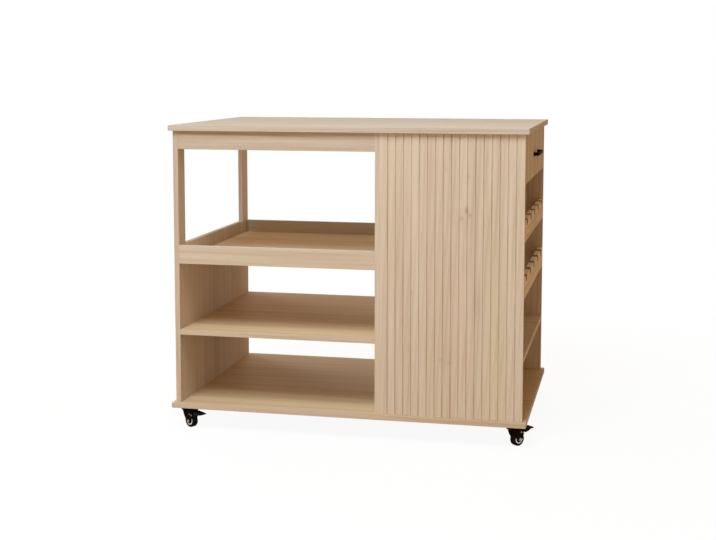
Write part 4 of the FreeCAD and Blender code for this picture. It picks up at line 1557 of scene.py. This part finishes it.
    def _rivets(self) -> None:
        """Set two bright rivet heads side by side on each leg, over the rim of the tyre."""
        shape = Shape()
        for face in (-1, 1):
            dome = [(face * (self.fork_half + rise), reach) for rise, reach in self.rivet_dome]
            for x, z in self.rivets:
                shape.turned(dome, (x, 0, z), False, self.rivet_steps)
        bmesh.ops.remove_doubles(shape.mesh, verts=shape.mesh.verts, dist=self.rivet_merged)
        rims = [edge for edge in shape.mesh.edges if edge.is_boundary]
        bmesh.ops.holes_fill(shape.mesh, edges=rims, sides=0)
        shape.move(self.place)
        piece = shape.finish(f"{self.corner}_rivets", self.finishes.axle, self.DOMED_DEGREES)
        settle(piece, f"{self.corner}_swivel_fork")


# Studio


@dataclass(frozen=True)
class Lamp:
    """A rectangular soft lamp that faces a point on the cart's axis.

    Attributes:
        name: Its name.
        aim: The height of that point, in metres.
        direction: The way from that point to the lamp.
        distance: How far away it hangs, in metres.
        size: Its width and height, in metres.
        power: Its power, in watts.
        colour: The colour of its light.
    """

    name: str
    aim: float
    direction: Triple
    distance: float
    size: Pair
    power: float
    colour: Triple

    def hang(self) -> None:
        """Hang the lamp."""
        direction = Vector(self.direction).normalized()
        data = bpy.data.lights.new(self.name, "AREA")
        data.shape = "RECTANGLE"
        data.size, data.size_y = self.size
        data.energy = self.power
        data.color = self.colour
        lamp = bpy.data.objects.new(self.name, data)
        lamp.location = Vector((0.0, 0.0, self.aim)) + direction * self.distance
        lamp.rotation_mode = "QUATERNION"
        lamp.rotation_quaternion = direction.to_track_quat("Z", "Y")
        bpy.context.scene.collection.objects.link(lamp)


@dataclass
class Studio:
    """The plain studio: a white floor, soft lamps in front and behind, and the camera.

    Attributes:
        lens: The camera's focal length, in millimetres.
        shift: How far its picture is shifted up, as a share of the sensor's width.
        stand: Where it stands, in metres.
        yaw: How far it is turned to the left, in radians.
        pitch: How far it looks down, in radians.
        sensor: The width of its sensor, in millimetres.
        sight: How far it sees, in metres.
        ambient: The colour of the light from all round.
        floor_tone: The colour in which the floor throws light back at the cart.
        floor_share: How much of the floor's white is its own glow, which keeps shadows faint.
        floor_white: The floor's colour where the light on it shows.
        floor_half: Half the floor's width, in millimetres.
        floor_fade: The distances in metres from the cart's middle between which shadows fade.
        lamps: The lamps.
    """

    lens: float = 64.015
    shift: float = -0.10
    stand: Triple = (0.82467, -3.85147, 1.06350)
    yaw: float = 0.21926
    pitch: float = 0.10033
    sensor: float = 36.0
    sight: float = 60.0
    ambient: Triple = (0.485, 0.340, 0.200)
    floor_tone: Triple = (0.55, 0.420, 0.270)
    floor_share: float = 0.93
    floor_white: Triple = (0.97, 0.97, 0.97)
    floor_half: float = 9000.0
    floor_fade: Pair = (0.9, 2.2)
    lamps: tuple[Lamp, ...] = (
        Lamp("key", 0.5, (-0.12, -1.0, 1.35), 4.5, (1.8, 2.0), 170.0, (0.74, 0.89, 1.0)),
        Lamp("fill", 0.5, (0.05, -1.0, 0.06), 5.0, (0.7, 0.7), 24.0, (0.78, 0.90, 1.0)),
        Lamp("back", 0.55, (-0.20, 1.0, 0.0), 2.2, (1.4, 0.72), 16.0, (1.0, 0.87, 0.72)),
        Lamp("side", 0.45, (-1.0, 0.75, 0.12), 3.5, (1.2, 0.9), 58.0, (0.54, 0.78, 1.0)),
    )

    def make(self) -> None:
        """Set up the camera, the world, the floor and the lamps."""
        bpy.context.scene.view_settings.view_transform = "Standard"
        self._camera()
        self._world()
        self._floor()
        for lamp in self.lamps:
            lamp.hang()

    def _camera(self) -> None:
        """Stand the camera where the photograph was taken from."""
        data = bpy.data.cameras.new("camera")
        data.lens = self.lens
        data.sensor_width = self.sensor
        data.shift_y = self.shift
        data.clip_end = self.sight
        camera = bpy.data.objects.new("camera", data)
        camera.location = self.stand
        camera.rotation_euler = (math.pi / 2 - self.pitch, 0.0, self.yaw)
        bpy.context.scene.collection.objects.link(camera)
        bpy.context.scene.camera = camera

    @staticmethod
    def _seen(sheet: NodeSheet) -> Signal:
        """Tell the rays that should meet plain white.

        Args:
            sheet: The nodes of the floor or of the world.

        Returns:
            1 for the rays of the eye, of a gloss and through glass.
        """
        kinds = ("Is Camera Ray", "Is Glossy Ray", "Is Transmission Ray")
        eye, gloss, glass = (sheet.add("ShaderNodeLightPath", {}, {}, kind) for kind in kinds)
        return eye.most(gloss).most(glass)

    def _world(self) -> None:
        """Light the cart gently from all round, before a white background."""
        world = bpy.data.worlds.new("studio")
        world.use_nodes = True
        sheet = NodeSheet(world.node_tree)
        glow = (*self.ambient, 1.0)
        around = sheet.add("ShaderNodeBackground", {}, {"Color": glow, "Strength": 1.0})
        white = sheet.add("ShaderNodeBackground", {}, {"Color": sheet.WHITE, "Strength": 1.0})
        both = sheet.add("ShaderNodeMixShader", {}, {0: self._seen(sheet), 1: around, 2: white})
        sheet.end(both, "ShaderNodeOutputWorld")
        bpy.context.scene.world = world

    def _floor(self) -> None:
        """Lay a white floor that keeps a faint shadow by the cart and fades into the background."""
        material, sheet = new_material("studio_floor")
        seen = self._seen(sheet)
        reach = sheet.add("ShaderNodeTexCoord", {}, {}, "Object").length()
        fade = reach.smooth(*self.floor_fade) * (1.0 - self.floor_share)
        share = seen * (fade + self.floor_share)
        white = sheet.add("ShaderNodeEmission", {}, {"Color": sheet.WHITE, "Strength": 1.0})
        tone = sheet.mix(seen, self.floor_tone, self.floor_white)
        matt = sheet.add("ShaderNodeBsdfDiffuse", {}, {"Color": tone})
        sheet.end(sheet.add("ShaderNodeMixShader", {}, {0: share, 1: matt, 2: white}))
        shape = Shape()
        bmesh.ops.create_grid(shape.mesh, x_segments=1, y_segments=1, size=self.floor_half)
        shape.finish("floor", material)


def main() -> None:
    """Build the studio and dress the whole cart."""
    logging.basicConfig(level=logging.INFO, format="%(name)s: %(message)s")
    Studio().make()
    Boards().make()
    Pull().make()
    Slides().make()
    Fixings().make()
    finishes = CasterFinishes()
    for corner in ("front_left", "front_right", "back_left", "back_right"):
        Caster(corner, finishes, corner.startswith("front")).make()


if __name__ == "__main__":
    main()
